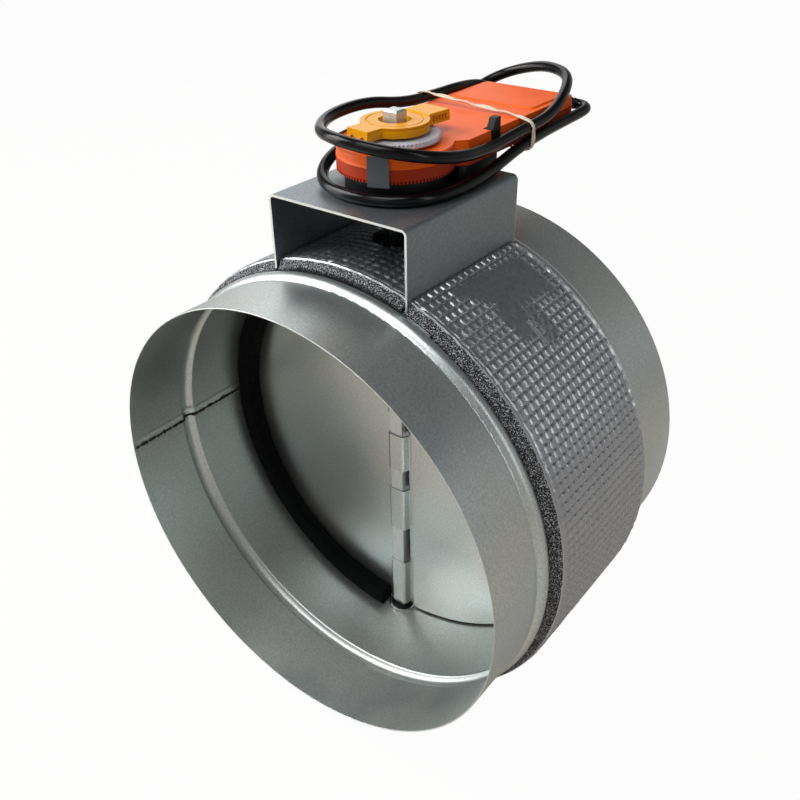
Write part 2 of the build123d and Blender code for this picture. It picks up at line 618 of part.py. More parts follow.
# Lower housing: floor, toothed edge, gear bosses, motor posts, board standoffs and screw posts
board_posts = [
    (side * (BOARD_WIDTH / 2 - BOARD_EDGE), BOARD_START + place)
    for side in (-1, 1)
    for place in (BOARD_EDGE, BOARD_LENGTH - BOARD_EDGE)
]
screw_post_radius = SCREW_HEAD_RADIUS + SCREW_POST_WALL
button_middle = BUTTON_FRONT + BUTTON_WIDTH / 2
button_slot = BUTTON_WIDTH + 2 * SOFT_GAP
button_heel = BODY_HALF_WIDTH - HOUSING_WALL - SOFT_GAP - BUTTON_FLANGE
slot_depth = BODY_HALF_WIDTH - button_heel + BUTTON_TRAVEL
with BuildPart() as lower_housing:
    extrude(body_shape(HOUSING_BOTTOM, 0), amount=LOWER_HEIGHT)
    extrude(body_shape(FLOOR_TOP, HOUSING_WALL), amount=LOWER_HEIGHT, mode=Mode.SUBTRACT)
    with BuildSketch(deck(HOUSING_BOTTOM)):
        with Locations(*HOUSING_SCREW_PLACES):
            Circle(screw_post_radius)
    extrude(amount=LOWER_HEIGHT)
    with BuildSketch(deck(HOUSING_BOTTOM)):
        with Locations((-MOTOR_EAR, MOTOR_AXIS), (MOTOR_EAR, MOTOR_AXIS)):
            Circle(MOTOR_POST_RADIUS)
    extrude(amount=LEVEL_THREE - LEVEL_GAP - MOTOR_PLATE - HOUSING_BOTTOM)
    with BuildSketch(deck(HOUSING_BOTTOM)):
        with Locations((-MOTOR_EAR, MOTOR_AXIS), (MOTOR_EAR, MOTOR_AXIS)):
            Circle(SPINDLE_RADIUS)
    extrude(amount=LEVEL_THREE - HOUSING_BOTTOM)
    with BuildSketch(deck(HOUSING_BOTTOM)):
        with Locations(*board_posts):
            Circle(MOTOR_POST_RADIUS)
    extrude(amount=HOUSING_WALL + BOARD_STANDOFF)
    with BuildSketch(deck(HOUSING_BOTTOM)):
        with Locations((0, SECOND_AXIS)):
            Circle(PINION_HUB_RADIUS)
    extrude(amount=LEVEL_TWO - THRUST_GAP - HOUSING_BOTTOM)
    with BuildSketch(deck(FLOOR_TOP)):
        with Locations((0, SECOND_AXIS)):
            Circle(GEAR_PIN_RADIUS + RUNNING_GAP)
    extrude(amount=LOWER_HEIGHT, mode=Mode.SUBTRACT)
    with BuildSketch(deck(HOUSING_BOTTOM)):
        Circle(HUB_JOURNAL_RADIUS + RUNNING_GAP)
        with Locations(*HOUSING_SCREW_PLACES):
            Circle(SCREW_RADIUS + RUNNING_GAP)
    extrude(amount=LOWER_HEIGHT, mode=Mode.SUBTRACT)
    with BuildSketch(deck(HOUSING_BOTTOM)):
        with Locations(*HOUSING_SCREW_PLACES):
            Circle(SCREW_HEAD_RADIUS + BAR_GAP)
    extrude(amount=SCREW_HEAD + BAR_GAP, mode=Mode.SUBTRACT)
    with BuildSketch(deck(HOUSING_BOTTOM)):
        with PolarLocations(HEAD_RADIUS, EDGE_NOTCHES, -180, EDGE_NOTCHES * EDGE_PITCH):
            Rectangle(2 * NOTCH_DEPTH, NOTCH_WIDTH)
    extrude(amount=NOTCH_HEIGHT, mode=Mode.SUBTRACT)
    with BuildSketch(deck(HOUSING_SEAM)):
        add(body_shape(HOUSING_SEAM, 0))
        add(body_shape(HOUSING_SEAM, SEAM_GROOVE), mode=Mode.SUBTRACT)
    extrude(amount=-SEAM_GROOVE, mode=Mode.SUBTRACT)
    with BuildSketch(deck(BUTTON_BOTTOM - SOFT_GAP)):
        with Locations((BODY_HALF_WIDTH + HOUSING_WALL, button_middle)):
            Rectangle(slot_depth + HOUSING_WALL, button_slot, align=(Align.MAX, Align.CENTER))
    extrude(amount=HOUSING_SEAM - BUTTON_BOTTOM + SOFT_GAP, mode=Mode.SUBTRACT)
    with BuildSketch(Plane.XZ.offset(-SHAFT_Y - BODY_REAR)):
        with Locations((OUTLET_X, OUTLET_Z)):
            Circle(GROMMET_NECK + RUNNING_GAP)
    extrude(amount=2 * HOUSING_WALL, mode=Mode.SUBTRACT)

# Upper housing: a drafted cover with the hub's hole, the ridges round the disc and a raised rear panel
with BuildPart() as upper_housing:
    extrude(body_shape(HOUSING_SEAM, 0), amount=UPPER_HEIGHT, taper=UPPER_DRAFT)
    with BuildSketch(deck(HOUSING_TOP)) as panel_shape:
        with Locations((0, PANEL_FRONT)):
            Rectangle(
                2 * (BODY_HALF_WIDTH - PANEL_INSET),
                BODY_REAR - PANEL_FRONT - PANEL_INSET,
                align=(Align.CENTER, Align.MIN),
            )
        fillet(panel_shape.vertices(), BODY_CORNER)
    extrude(amount=PANEL_HEIGHT, taper=PANEL_SLOPE)
    with BuildSketch(deck(HOUSING_TOP)):
        for radius in RIDGE_RADII:
            with BuildLine():
                CenterArc((0, 0), radius - RIDGE_WIDTH / 2, RIDGE_START, RIDGE_SWEEP)
                CenterArc((0, 0), radius + RIDGE_WIDTH / 2, RIDGE_START, RIDGE_SWEEP)
                for angle in (RIDGE_START, RIDGE_START + RIDGE_SWEEP):
                    Line(polar(radius - RIDGE_WIDTH / 2, angle), polar(radius + RIDGE_WIDTH / 2, angle))
            make_face()
    extrude(amount=RIDGE_HEIGHT, taper=RIDGE_DRAFT)
    upper_room = body_shape(HOUSING_SEAM, HOUSING_WALL)
    extrude(upper_room, amount=CEILING - HOUSING_SEAM, taper=UPPER_DRAFT, mode=Mode.SUBTRACT)
    with BuildSketch(deck(HOUSING_SEAM)):
        with Locations(*HOUSING_SCREW_PLACES):
            Circle(screw_post_radius)
            Circle(SCREW_RADIUS + RUNNING_GAP, mode=Mode.SUBTRACT)
    extrude(amount=CEILING - HOUSING_SEAM)
    for place, level in ((FIRST_AXIS, LEVEL_THREE - LEVEL_GAP), (SECOND_AXIS, LEVEL_THREE + GEAR_FACE)):
        with BuildSketch(deck(CEILING)):
            with Locations((0, place)):
                Circle(PINION_HUB_RADIUS)
                Circle(GEAR_PIN_RADIUS + RUNNING_GAP, mode=Mode.SUBTRACT)
        extrude(amount=level + THRUST_GAP - CEILING)
    with BuildSketch(deck(CEILING)):
        Circle(HUB_RADIUS + RUNNING_GAP)
    extrude(amount=HOUSING_WALL, mode=Mode.SUBTRACT)
    with BuildSketch(deck(HOUSING_SEAM)):
        with Locations((BODY_HALF_WIDTH + HOUSING_WALL, button_middle)):
            Rectangle(slot_depth + HOUSING_WALL, button_slot, align=(Align.MAX, Align.CENTER))
    extrude(amount=UPPER_HEIGHT, mode=Mode.SUBTRACT)
    with BuildSketch(Plane.XZ.offset(-SHAFT_Y - BODY_REAR)):
        with Locations((OUTLET_X, OUTLET_Z)):
            Circle(GROMMET_NECK + RUNNING_GAP)
    extrude(amount=2 * HOUSING_WALL, mode=Mode.SUBTRACT)

with BuildPart() as housing_screws:
    with BuildSketch(deck(HOUSING_BOTTOM + BAR_GAP)):
        with Locations(*HOUSING_SCREW_PLACES):
            Circle(SCREW_HEAD_RADIUS)
    extrude(amount=SCREW_HEAD)
    with BuildSketch(deck(HOUSING_BOTTOM + BAR_GAP)):
        with Locations(*HOUSING_SCREW_PLACES):
            Circle(SCREW_RADIUS)
    extrude(amount=CEILING - HOUSING_BOTTOM - HOUSING_WALL / 2)

# Output gear: a hollow hub that runs in both housings and carries the disc and the adapter
hub_top = ADAPTER_LEVEL - 2 * THRUST_GAP
with BuildPart() as output_gear:
    extrude(gear_shape(LEVEL_ONE, 0, OUTPUT_TEETH, FIRST_MODULE, 90), amount=OUTPUT_FACE)
    with BuildSketch(deck(HOUSING_BOTTOM)):
        Circle(HUB_JOURNAL_RADIUS)
    extrude(amount=LEVEL_ONE - HOUSING_BOTTOM)
    with BuildSketch(deck(LEVEL_ONE)):
        Circle(HUB_RADIUS)
    extrude(amount=DISC_LEVEL - THRUST_GAP - LEVEL_ONE)
    with BuildSketch(deck(LEVEL_ONE)):
        Circle(HUB_NECK_RADIUS)
    extrude(amount=hub_top - LEVEL_ONE)
    with BuildSketch(deck(HOUSING_BOTTOM)):
        Circle(HUB_BORE)
    extrude(amount=hub_top - HOUSING_BOTTOM, mode=Mode.SUBTRACT)
    with BuildSketch(deck(SOCKET_FLOOR)):
        Circle(HUB_SOCKET)
    extrude(amount=hub_top - SOCKET_FLOOR, mode=Mode.SUBTRACT)

# Compound gears between the output gear and the motor, each on its own pin
with BuildPart() as first_gear:
    extrude(
        gear_shape(LEVEL_ONE, FIRST_AXIS, FIRST_PINION_TEETH, FIRST_MODULE, 270 + 180 / FIRST_PINION_TEETH),
        amount=OUTPUT_FACE,
    )
    with BuildSketch(deck(LEVEL_ONE)):
        with Locations((0, FIRST_AXIS)):
            Circle(PINION_HUB_RADIUS)
    extrude(amount=LEVEL_TWO - LEVEL_ONE)
    extrude(gear_shape(LEVEL_TWO, FIRST_AXIS, SECOND_WHEEL_TEETH, SECOND_MODULE, 90), amount=GEAR_FACE)
    with BuildSketch(deck(LEVEL_ONE)):
        with Locations((0, FIRST_AXIS)):
            Circle(GEAR_PIN_RADIUS + RUNNING_GAP)
    extrude(amount=LEVEL_THREE - LEVEL_ONE, mode=Mode.SUBTRACT)

with BuildPart() as second_gear:
    extrude(
        gear_shape(
            LEVEL_TWO, SECOND_AXIS, SECOND_PINION_TEETH, SECOND_MODULE, 270 + 180 / SECOND_PINION_TEETH
        ),
        amount=GEAR_FACE,
    )
    with BuildSketch(deck(LEVEL_TWO)):
        with Locations((0, SECOND_AXIS)):
            Circle(PINION_HUB_RADIUS)
    extrude(amount=LEVEL_THREE - LEVEL_TWO)
    extrude(gear_shape(LEVEL_THREE, SECOND_AXIS, THIRD_WHEEL_TEETH, THIRD_MODULE, 90), amount=GEAR_FACE)
    with BuildSketch(deck(LEVEL_TWO)):
        with Locations((0, SECOND_AXIS)):
            Circle(GEAR_PIN_RADIUS + RUNNING_GAP)
    extrude(amount=LEVEL_THREE, mode=Mode.SUBTRACT)

with BuildPart() as gear_pins:
    with BuildSketch(deck(FLOOR_TOP)):
        with Locations((0, FIRST_AXIS), (0, SECOND_AXIS)):
            Circle(GEAR_PIN_RADIUS)
    extrude(amount=CEILING - FLOOR_TOP)

# Motor: a flat can on two posts, and the pinion with its spindle
motor_top = LEVEL_THREE - LEVEL_GAP
with BuildPart() as motor:
    with BuildSketch(deck(FLOOR_TOP)):
        with Locations((0, MOTOR_AXIS)):
            Circle(MOTOR_RADIUS)
    extrude(amount=motor_top - FLOOR_TOP)
    with BuildSketch(deck(motor_top)) as motor_plate:
        with Locations((0, MOTOR_AXIS)):
            SlotCenterToCenter(2 * MOTOR_EAR, 3 * MOTOR_POST_RADIUS)
        with Locations((-MOTOR_EAR, MOTOR_AXIS), (MOTOR_EAR, MOTOR_AXIS)):
            Circle(SPINDLE_RADIUS + BAR_GAP, mode=Mode.SUBTRACT)
    extrude(amount=-MOTOR_PLATE)
    with BuildSketch(deck(motor_top)):
        with Locations((0, MOTOR_AXIS)):
            Circle(SPINDLE_RADIUS + RUNNING_GAP)
    extrude(amount=FLOOR_TOP + HOUSING_WALL - motor_top, mode=Mode.SUBTRACT)

with BuildPart() as motor_pinion:
    extrude(
        gear_shape(LEVEL_THREE, MOTOR_AXIS, MOTOR_PINION_TEETH, THIRD_MODULE, 270 + 180 / MOTOR_PINION_TEETH),
        amount=GEAR_FACE,
    )
    with BuildSketch(deck(LEVEL_THREE + GEAR_FACE + LEVEL_GAP)):
        with Locations((0, MOTOR_AXIS)):
            Circle(SPINDLE_RADIUS)
    extrude(amount=FLOOR_TOP + HOUSING_WALL + THRUST_GAP - LEVEL_THREE - GEAR_FACE - LEVEL_GAP)

# Control board with its connector, capacitor and relay
board_level = FLOOR_TOP + BOARD_STANDOFF
board_middle = BOARD_START + BOARD_LENGTH / 2
with BuildPart() as circuit_board:
    with BuildSketch(deck(board_level)) as board_shape:
        with Locations((0, board_middle)):
            Rectangle(BOARD_WIDTH, BOARD_LENGTH)
        fillet(board_shape.vertices(), BOARD_CORNER)
        with Locations(*board_posts):
            Circle(SPINDLE_RADIUS, mode=Mode.SUBTRACT)
    extrude(amount=BOARD_THICKNESS)

with BuildPart() as board_parts:
    with BuildSketch(deck(board_level + BOARD_THICKNESS)):
        with Locations((13, board_middle + 11)):
            Rectangle(12, 8)
        with Locations((-10, board_middle - 4)):
            Rectangle(15, 10)
    extrude(amount=TALL_PARTS)
    with BuildSketch(deck(board_level + BOARD_THICKNESS)):
        with Locations((10, board_middle - 6)):
            Circle(3.5)
        with Locations((2, board_middle + 8)):
            Circle(2.4)
    extrude(amount=CAN_PARTS)
    with BuildSketch(deck(board_level + BOARD_THICKNESS)):
        with Locations((-13, board_middle + 10)):
            Rectangle(9, 6)
    extrude(amount=FLAT_PARTS)

# Disc: fine teeth along its front, a pointer at the closed end and a raised tab at the open end
with BuildPart() as position_disc:
    with BuildSketch(deck(DISC_LEVEL)):
        Circle(DISC_RADIUS)
        Polygon(*[polar(radius, angle) for radius, angle in POINTER], align=None)
        Circle(HUB_NECK_RADIUS + RUNNING_GAP, mode=Mode.SUBTRACT)
    extrude(amount=DISC_THICKNESS)
    with BuildSketch(deck(DISC_LEVEL + DISC_THICKNESS)):
        with PolarLocations(DISC_RADIUS, DISC_TEETH, DISC_TEETH_START, DISC_TEETH_SWEEP):
            Rectangle(DISC_NOTCH, DISC_NOTCH, rotation=45)
    extrude(amount=-DISC_NOTCH_DEPTH, mode=Mode.SUBTRACT)
    with BuildSketch(tilted_deck(DISC_LEVEL, DISC_TAB_ANGLE)):
        with Locations((DISC_TAB_REACH, 0)):
            Rectangle(DISC_TAB_REACH - DISC_RADIUS + 2, DISC_TAB_WIDTH, align=(Align.MAX, Align.CENTER))
    extrude(amount=DISC_TAB_HEIGHT)

# Adapter: a ring with two lugs, and a sleeve that grips the bar inside the hub
adapter_top = ADAPTER_LEVEL + ADAPTER_HEIGHT
lug_x, lug_y = polar(FRONT_LUG_REACH, ADAPTER_TURN - 90)
front_lug_face = Plane(
    (lug_x, SHAFT_Y + lug_y, ADAPTER_LEVEL),
    x_dir=(cos(radians(ADAPTER_TURN)), sin(radians(ADAPTER_TURN)), 0),
    z_dir=(lug_x, lug_y, 0),
)
with BuildPart() as shaft_adapter:
    with BuildSketch(deck(ADAPTER_LEVEL)):
        Circle(ADAPTER_RADIUS)
    extrude(amount=ADAPTER_HEIGHT)
    with BuildSketch(deck(ADAPTER_LEVEL + RIM_GROOVE_LEVEL)):
        Circle(ADAPTER_RADIUS)
        Circle(ADAPTER_RADIUS - RIM_GROOVE_DEPTH, mode=Mode.SUBTRACT)
    extrude(amount=GROOVE_WIDTH / 2, mode=Mode.SUBTRACT)
    with BuildSketch(tilted_deck(ADAPTER_LEVEL, ADAPTER_TURN)):
        with Locations((0, -FRONT_LUG_REACH)):
            Rectangle(FRONT_LUG_WIDTH, FRONT_LUG_REACH, align=(Align.CENTER, Align.MIN))
    extrude(amount=ADAPTER_HEIGHT)
    with BuildSketch(tilted_deck(ADAPTER_LEVEL, ADAPTER_TURN)):
        with Locations((0, REAR_LUG_START)):
            Rectangle(REAR_LUG_WIDTH, REAR_LUG_REACH - REAR_LUG_START, align=(Align.CENTER, Align.MIN))
    extrude(amount=ADAPTER_HEIGHT + REAR_LUG_RISE)
    chamfer(shaft_adapter.faces().sort_by(Axis.Z)[-1].edges(), LUG_CHAMFER)
    with BuildSketch(deck(adapter_top)):
        for radius in ADAPTER_GROOVES:
            Circle(radius + GROOVE_WIDTH / 2)
            Circle(radius - GROOVE_WIDTH / 2, mode=Mode.SUBTRACT)
    extrude(amount=-GROOVE_DEPTH, mode=Mode.SUBTRACT)
    with BuildSketch(front_lug_face):
        for side in (-1, 1):
            with Locations((side * FRONT_LUG_WIDTH / 4, 0)):
                Circle(LUG_ARCH_RADIUS)
    extrude(amount=-LUG_ARCH_DEPTH, mode=Mode.SUBTRACT)
    with BuildSketch(tilted_deck(ADAPTER_LEVEL + ADAPTER_FLOOR, ADAPTER_TURN)):
        with Locations((0, (REAR_LUG_START + REAR_LUG_REACH) / 2)):
            for side in (-1, 1):
                with Locations((side * REAR_LUG_WIDTH / 2, 0)):
                    with GridLocations(0, LUG_POCKET_PITCH, 1, LUG_RIBS):
                        Rectangle(2 * LUG_POCKET_DEPTH, LUG_POCKET)
    extrude(amount=ADAPTER_HEIGHT - 2 * ADAPTER_FLOOR, mode=Mode.SUBTRACT)
    with BuildSketch(deck(ADAPTER_LEVEL + ADAPTER_FLOOR)):
        Circle(ADAPTER_BORE)
    extrude(amount=ADAPTER_HEIGHT, mode=Mode.SUBTRACT)
    with BuildSketch(deck(ADAPTER_LEVEL)):
        Circle(HUB_SOCKET - RUNNING_GAP)
    extrude(amount=SOCKET_FLOOR + THRUST_GAP - ADAPTER_LEVEL)
    with BuildSketch(deck(SOCKET_FLOOR)):
        Rectangle(BAR + 2 * BAR_GAP, BAR + 2 * BAR_GAP)
    extrude(amount=ADAPTER_LEVEL + ADAPTER_FLOOR - SOCKET_FLOOR, mode=Mode.SUBTRACT)

# End stops: a bent clip on the toothed edge at each end of the travel
clips = {}
for name, angle in CLIP_ANGLES.items():
    with BuildPart() as clips[name]:
        with BuildSketch(tilted_deck(CLIP_BOTTOM, angle)) as clip_plate:
            with Locations((HEAD_RADIUS + CLIP_GAP, 0)):
                Rectangle(CLIP_SHEET, CLIP_WIDTH, align=(Align.MIN, Align.CENTER))
        extrude(amount=CLIP_TOP - CLIP_BOTTOM)
        with BuildSketch(tilted_deck(CLIP_BOTTOM, angle)):
            with Locations((CLIP_FOOT_START, 0)):
                Rectangle(
                    HEAD_RADIUS + CLIP_GAP + CLIP_SHEET - CLIP_FOOT_START,
                    CLIP_WIDTH,
                    align=(Align.MIN, Align.CENTER),
                )
        extrude(amount=HOUSING_BOTTOM - 2 * THRUST_GAP - CLIP_BOTTOM)

# Release button: a fin through the side slot, held by a flange inside the wall
flange_face = button_heel + BUTTON_FLANGE
with BuildPart() as release_button:
    with BuildSketch(Plane.YZ.offset(button_heel)):
        Polygon(
            (SHAFT_Y + BUTTON_FRONT, BUTTON_BOTTOM),
            (SHAFT_Y + BUTTON_FRONT + BUTTON_WIDTH, BUTTON_BOTTOM),
            (SHAFT_Y + BUTTON_FRONT + BUTTON_WIDTH, BUTTON_TOP),
            (SHAFT_Y + BUTTON_FRONT + BUTTON_SLANT, BUTTON_TOP),
            (SHAFT_Y + BUTTON_FRONT, HOUSING_TOP),
            align=None,
        )
    extrude(amount=BUTTON_FACE - button_heel)
    with BuildSketch(Plane.YZ.offset(button_heel)):
        with Locations((SHAFT_Y + button_middle, BUTTON_BOTTOM - SOFT_GAP)):
            Rectangle(
                BUTTON_WIDTH + 2 * BUTTON_LIP,
                CEILING - SOFT_GAP - BUTTON_BOTTOM,
                align=(Align.CENTER, Align.MIN),
            )
    extrude(amount=BUTTON_FLANGE)

# Cable outlet, cable and the band round the coil
with BuildPart() as cable_grommet:
    with BuildSketch(Plane.XZ.offset(-SHAFT_Y - BODY_REAR - BAR_GAP)):
        with Locations((OUTLET_X, OUTLET_Z)):
            Circle(GROMMET_RADIUS)
    extrude(amount=-GROMMET_FLANGE)
    with BuildSketch(Plane.XZ.offset(-SHAFT_Y - BODY_REAR - BAR_GAP)):
        with Locations((OUTLET_X, OUTLET_Z)):
            Circle(GROMMET_NECK)
    extrude(amount=2 * HOUSING_WALL)

cord_points = [Vector(x, SHAFT_Y + y, BRACKET_TOP + z) for x, y, z in CORD_ROUTE]
cord_radii = []
for before, point, after in zip(cord_points, cord_points[1:], cord_points[2:]):
    turn = (point - before).get_angle(after - point)
    shorter = min((point - before).length, (after - point).length)
    cord_radii.append(0.45 * shorter / tan(radians(turn / 2)))
with BuildPart() as cord:
    with BuildLine() as cord_path:
        FilletPolyline(*cord_points, radius=cord_radii)
    with BuildSketch(Plane(origin=cord_points[0], z_dir=cord_points[1] - cord_points[0])) as cord_section:
        Circle(CORD_RADIUS)
    sweep()
cord_length = cord_path.wire().length
print("cord radii", [round(radius, 1) for radius in cord_radii])
print("cord length", round(cord_length, 1))
swept_share = cord.part.volume / (cord_section.sketch.area * cord_length)
print("cord volume over section times length", round(swept_share, 5))


def strand_place(before: int) -> tuple:
    """Where the cable's run between two route points crosses the band's plane, as x and z."""
    start, end = CORD_ROUTE[before], CORD_ROUTE[before + 1]
    share = (BAND_PLACE - start[1]) / (end[1] - start[1])
    return start[0] + share * (end[0] - start[0]), BRACKET_TOP + start[2] + share * (end[2] - start[2])


band_strands = [strand_place(before) for before in BAND_RUNS]
body_corners = [
    (side * x, z)
    for side in (-1, 1)
    for x, z in (
        (BODY_HALF_WIDTH, HOUSING_BOTTOM),
        (BODY_HALF_WIDTH - UPPER_HEIGHT * tan(radians(UPPER_DRAFT)), HOUSING_TOP),
    )
]
with BuildPart() as cord_band:
    for clearance, mode in ((SOFT_GAP + BAND_THICKNESS, Mode.ADD), (SOFT_GAP, Mode.SUBTRACT)):
        with BuildSketch(Plane.XZ.offset(-SHAFT_Y - BAND_PLACE)) as band_outline:
            with Locations(*band_strands):
                Circle(CORD_RADIUS + clearance)
            with Locations(*body_corners):
                Circle(clearance)
            make_hull(band_outline.edges())
        extrude(amount=BAND_WIDTH / 2, both=True, mode=mode)

pieces = {
    "duct_casing": duct_casing,
    "insulation_sleeve": insulation_sleeve,
    "insulation_pad": insulation_pad,
    "sleeve_foil": sleeve_foil,
    "pad_foil": pad_foil,
    "actuator_bracket": actuator_bracket,
    "bracket_rivets": bracket_rivets,
    "upper_bearing_ring": upper_bearing_ring,
    "lower_bearing_ring": lower_bearing_ring,
    "drive_shaft": drive_shaft,
    "upper_bush": upper_bush,
    "lower_bush": lower_bush,
    "retaining_washer": retaining_washer,
    "damper_blade": damper_blade,
    "actuator_base": actuator_base,
    "base_screws": base_screws,
    "lower_housing": lower_housing,
    "upper_housing": upper_housing,
    "housing_screws": housing_screws,
    "output_gear": output_gear,
    "first_gear": first_gear,
    "second_gear": second_gear,
    "gear_pins": gear_pins,
    "motor": motor,
    "motor_pinion": motor_pinion,
    "circuit_board": circuit_board,
    "board_parts": board_parts,
    "position_disc": position_disc,
    "shaft_adapter": shaft_adapter,
    "release_button": release_button,
    "cable_grommet": cable_grommet,
    "cord": cord,
    "cord_band": cord_band,
    **seals,
    **clips,
}
for name, piece in pieces.items():
    piece.part.label = name
    export_step(piece.part, f"parts/{name}.step")
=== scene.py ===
"""Motorised round duct damper: studio, camera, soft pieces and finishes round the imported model.

The duct runs along Y, the shaft stands along Z, and the origin is the centre of the front spigot's open end.
Sizes are in metres, most of them written as millimetres times MM, and angles are in degrees.
"""

import logging
import math
from collections.abc import Callable
from dataclasses import dataclass
from enum import Enum

import bpy
from mathutils import Matrix, Vector, noise


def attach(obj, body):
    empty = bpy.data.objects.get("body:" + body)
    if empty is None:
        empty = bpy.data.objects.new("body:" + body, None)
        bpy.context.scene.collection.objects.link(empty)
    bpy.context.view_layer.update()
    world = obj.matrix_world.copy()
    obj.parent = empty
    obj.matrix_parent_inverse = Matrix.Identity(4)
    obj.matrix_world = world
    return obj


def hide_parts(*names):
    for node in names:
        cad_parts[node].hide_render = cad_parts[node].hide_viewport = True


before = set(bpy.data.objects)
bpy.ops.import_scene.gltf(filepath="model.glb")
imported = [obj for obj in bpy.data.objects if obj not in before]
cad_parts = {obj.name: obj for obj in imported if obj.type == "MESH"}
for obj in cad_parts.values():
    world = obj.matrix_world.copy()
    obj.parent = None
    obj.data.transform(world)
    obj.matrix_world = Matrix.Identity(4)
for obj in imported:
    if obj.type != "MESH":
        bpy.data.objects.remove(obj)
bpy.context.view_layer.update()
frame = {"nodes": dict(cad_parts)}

log = logging.getLogger("damper")

MM = 0.001
SHAFT_Y = 94 * MM  # from the front spigot's open end to the shaft
CASING = "casing"  # the body that every new piece rides on

NOISE = "ShaderNodeTexNoise"
NOISE_SPAN = {"From Min": 0.3, "From Max": 0.7}  # nearly all of a noise texture's values lie between these
RANGE = "ShaderNodeMapRange"
MATH = "ShaderNodeMath"
MIX = "ShaderNodeMix"
RGBA = {"data_type": "RGBA"}
SMOOTH = {"interpolation_type": "SMOOTHSTEP"}


class Slot(Enum):
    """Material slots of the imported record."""

    GALVANISED = "galvanised"
    GREY_FOAM = "grey_foam"
    EMBOSSED_FOIL = "embossed_foil"
    BLACK_PLASTIC = "black_plastic"
    SEAL_FOAM = "seal_foam"
    ORANGE_PLASTIC = "orange_plastic"
    PALE_PLASTIC = "pale_plastic"
    BLACK_CABLE = "black_cable"
    PALE_BAND = "pale_band"


def linear(code: str) -> tuple[float, float, float, float]:
    """Turns an sRGB colour into the linear one that a shader reads.

    Args:
        code: The colour as six hex digits after a hash.

    Returns:
        Linear red, green and blue, and a full alpha.
    """
    parts = [int(code[start : start + 2], 16) / 255 for start in (1, 3, 5)]
    red, green, blue = (part / 12.92 if part <= 0.04045 else ((part + 0.055) / 1.055) ** 2.4 for part in parts)
    return red, green, blue, 1.0


def add_node(
    tree: bpy.types.NodeTree, kind: str, settings: dict[str, object], inputs: dict[str | int, object]
) -> bpy.types.Node:
    """Adds a node with its settings, values and links.

    Args:
        tree: The tree that gets the node.
        kind: The node's type name.
        settings: The node's own properties.
        inputs: A value or another node's output socket for each input, by name or number.

    Returns:
        The new node.
    """
    new = tree.nodes.new(kind)
    for name, value in settings.items():
        setattr(new, name, value)
    for name, value in inputs.items():
        if isinstance(value, bpy.types.NodeSocket):
            tree.links.new(value, new.inputs[name])
        else:
            new.inputs[name].default_value = value
    return new


def smooth_step(low: float, high: float, value: float) -> float:
    """Rises smoothly from 0 at low to 1 at high."""
    share = min(1.0, max(0.0, (value - low) / (high - low)))
    return share * share * (3 - 2 * share)


def start_clean() -> None:
    """Leaves edit mode and deselects every object."""
    if bpy.context.object is not None and bpy.context.object.mode != "OBJECT":
        bpy.ops.object.mode_set(mode="OBJECT")
    bpy.ops.object.select_all(action="DESELECT")


def pick(piece: bpy.types.Object) -> None:
    """Makes one object the only selected and the active one.

    Args:
        piece: The object.
    """
    start_clean()
    piece.select_set(True)
    bpy.context.view_layer.objects.active = piece


def settle(piece: bpy.types.Object, merge: float = 1e-6) -> None:
    """Puts a mesh's place into its vertices, merges doubles and turns its faces outwards.

    Args:
        piece: The mesh object.
        merge: Largest distance between points that become one.
    """
    pick(piece)
    bpy.ops.object.transform_apply(location=True, rotation=True, scale=True)
    bpy.ops.object.mode_set(mode="EDIT")
    bpy.ops.mesh.select_all(action="SELECT")
    bpy.ops.mesh.remove_doubles(threshold=merge)
    bpy.ops.mesh.normals_make_consistent(inside=False)
    bpy.ops.object.mode_set(mode="OBJECT")


def apply_modifiers(piece: bpy.types.Object) -> None:
    """Applies a piece's modifiers in their order.

    Args:
        piece: The mesh object.
    """
    pick(piece)
    for modifier in list(piece.modifiers):
        bpy.ops.object.modifier_apply(modifier=modifier.name)


def lay_grid(
    name: str, columns: int, rows: int, rule: Callable[[int, int], Vector | tuple[float, float, float]]
) -> bpy.types.Object:
    """Adds a grid and lays each of its points where a rule says.

    Args:
        name: The piece's name.
        columns: Points across.
        rows: Points along.
        rule: Gives the place of the point in a column and a row.

    Returns:
        The mesh object, with its doubles merged and its faces turned outwards.
    """
    start_clean()
    bpy.ops.mesh.primitive_grid_add(x_subdivisions=columns - 1, y_subdivisions=rows - 1, size=2)
    piece = bpy.context.object
    piece.name = name
    piece.data.name = name
    for vertex in piece.data.vertices:
        column = round((vertex.co.x + 1) / 2 * (columns - 1))
        row = round((vertex.co.y + 1) / 2 * (rows - 1))
        vertex.co = rule(column, row)
    settle(piece)
    bpy.ops.object.shade_smooth()
    return piece


def sweep_round(name: str, line: list[Vector], radii: list[float], sides: int = 24) -> bpy.types.Object:
    """Sweeps a circle of changing radius along a line.

    Args:
        name: The piece's name.
        line: The places of its rings.
        radii: Their radii, 0 at both ends to close the form.
        sides: Points round each ring.

    Returns:
        The closed mesh object.
    """
    frames: list[tuple[Vector, Vector, Vector]] = []
    side = Vector((0, 0, 1))
    for index, point in enumerate(line):
        ahead = (line[min(index + 2, len(line) - 1)] - line[max(index - 2, 0)]).normalized()
        side = (side - side.dot(ahead) * ahead).normalized()
        frames.append((point, side, ahead.cross(side)))

    def place(column: int, row: int) -> Vector:
        """Lays one point of the grid.

        Args:
            column: The point's column.
            row: Its row.

        Returns:
            Its place.
        """
        centre, first, second = frames[row]
        angle = math.tau * column / sides
        return centre + radii[row] * (math.cos(angle) * first + math.sin(angle) * second)

    return lay_grid(name, sides + 1, len(line), place)


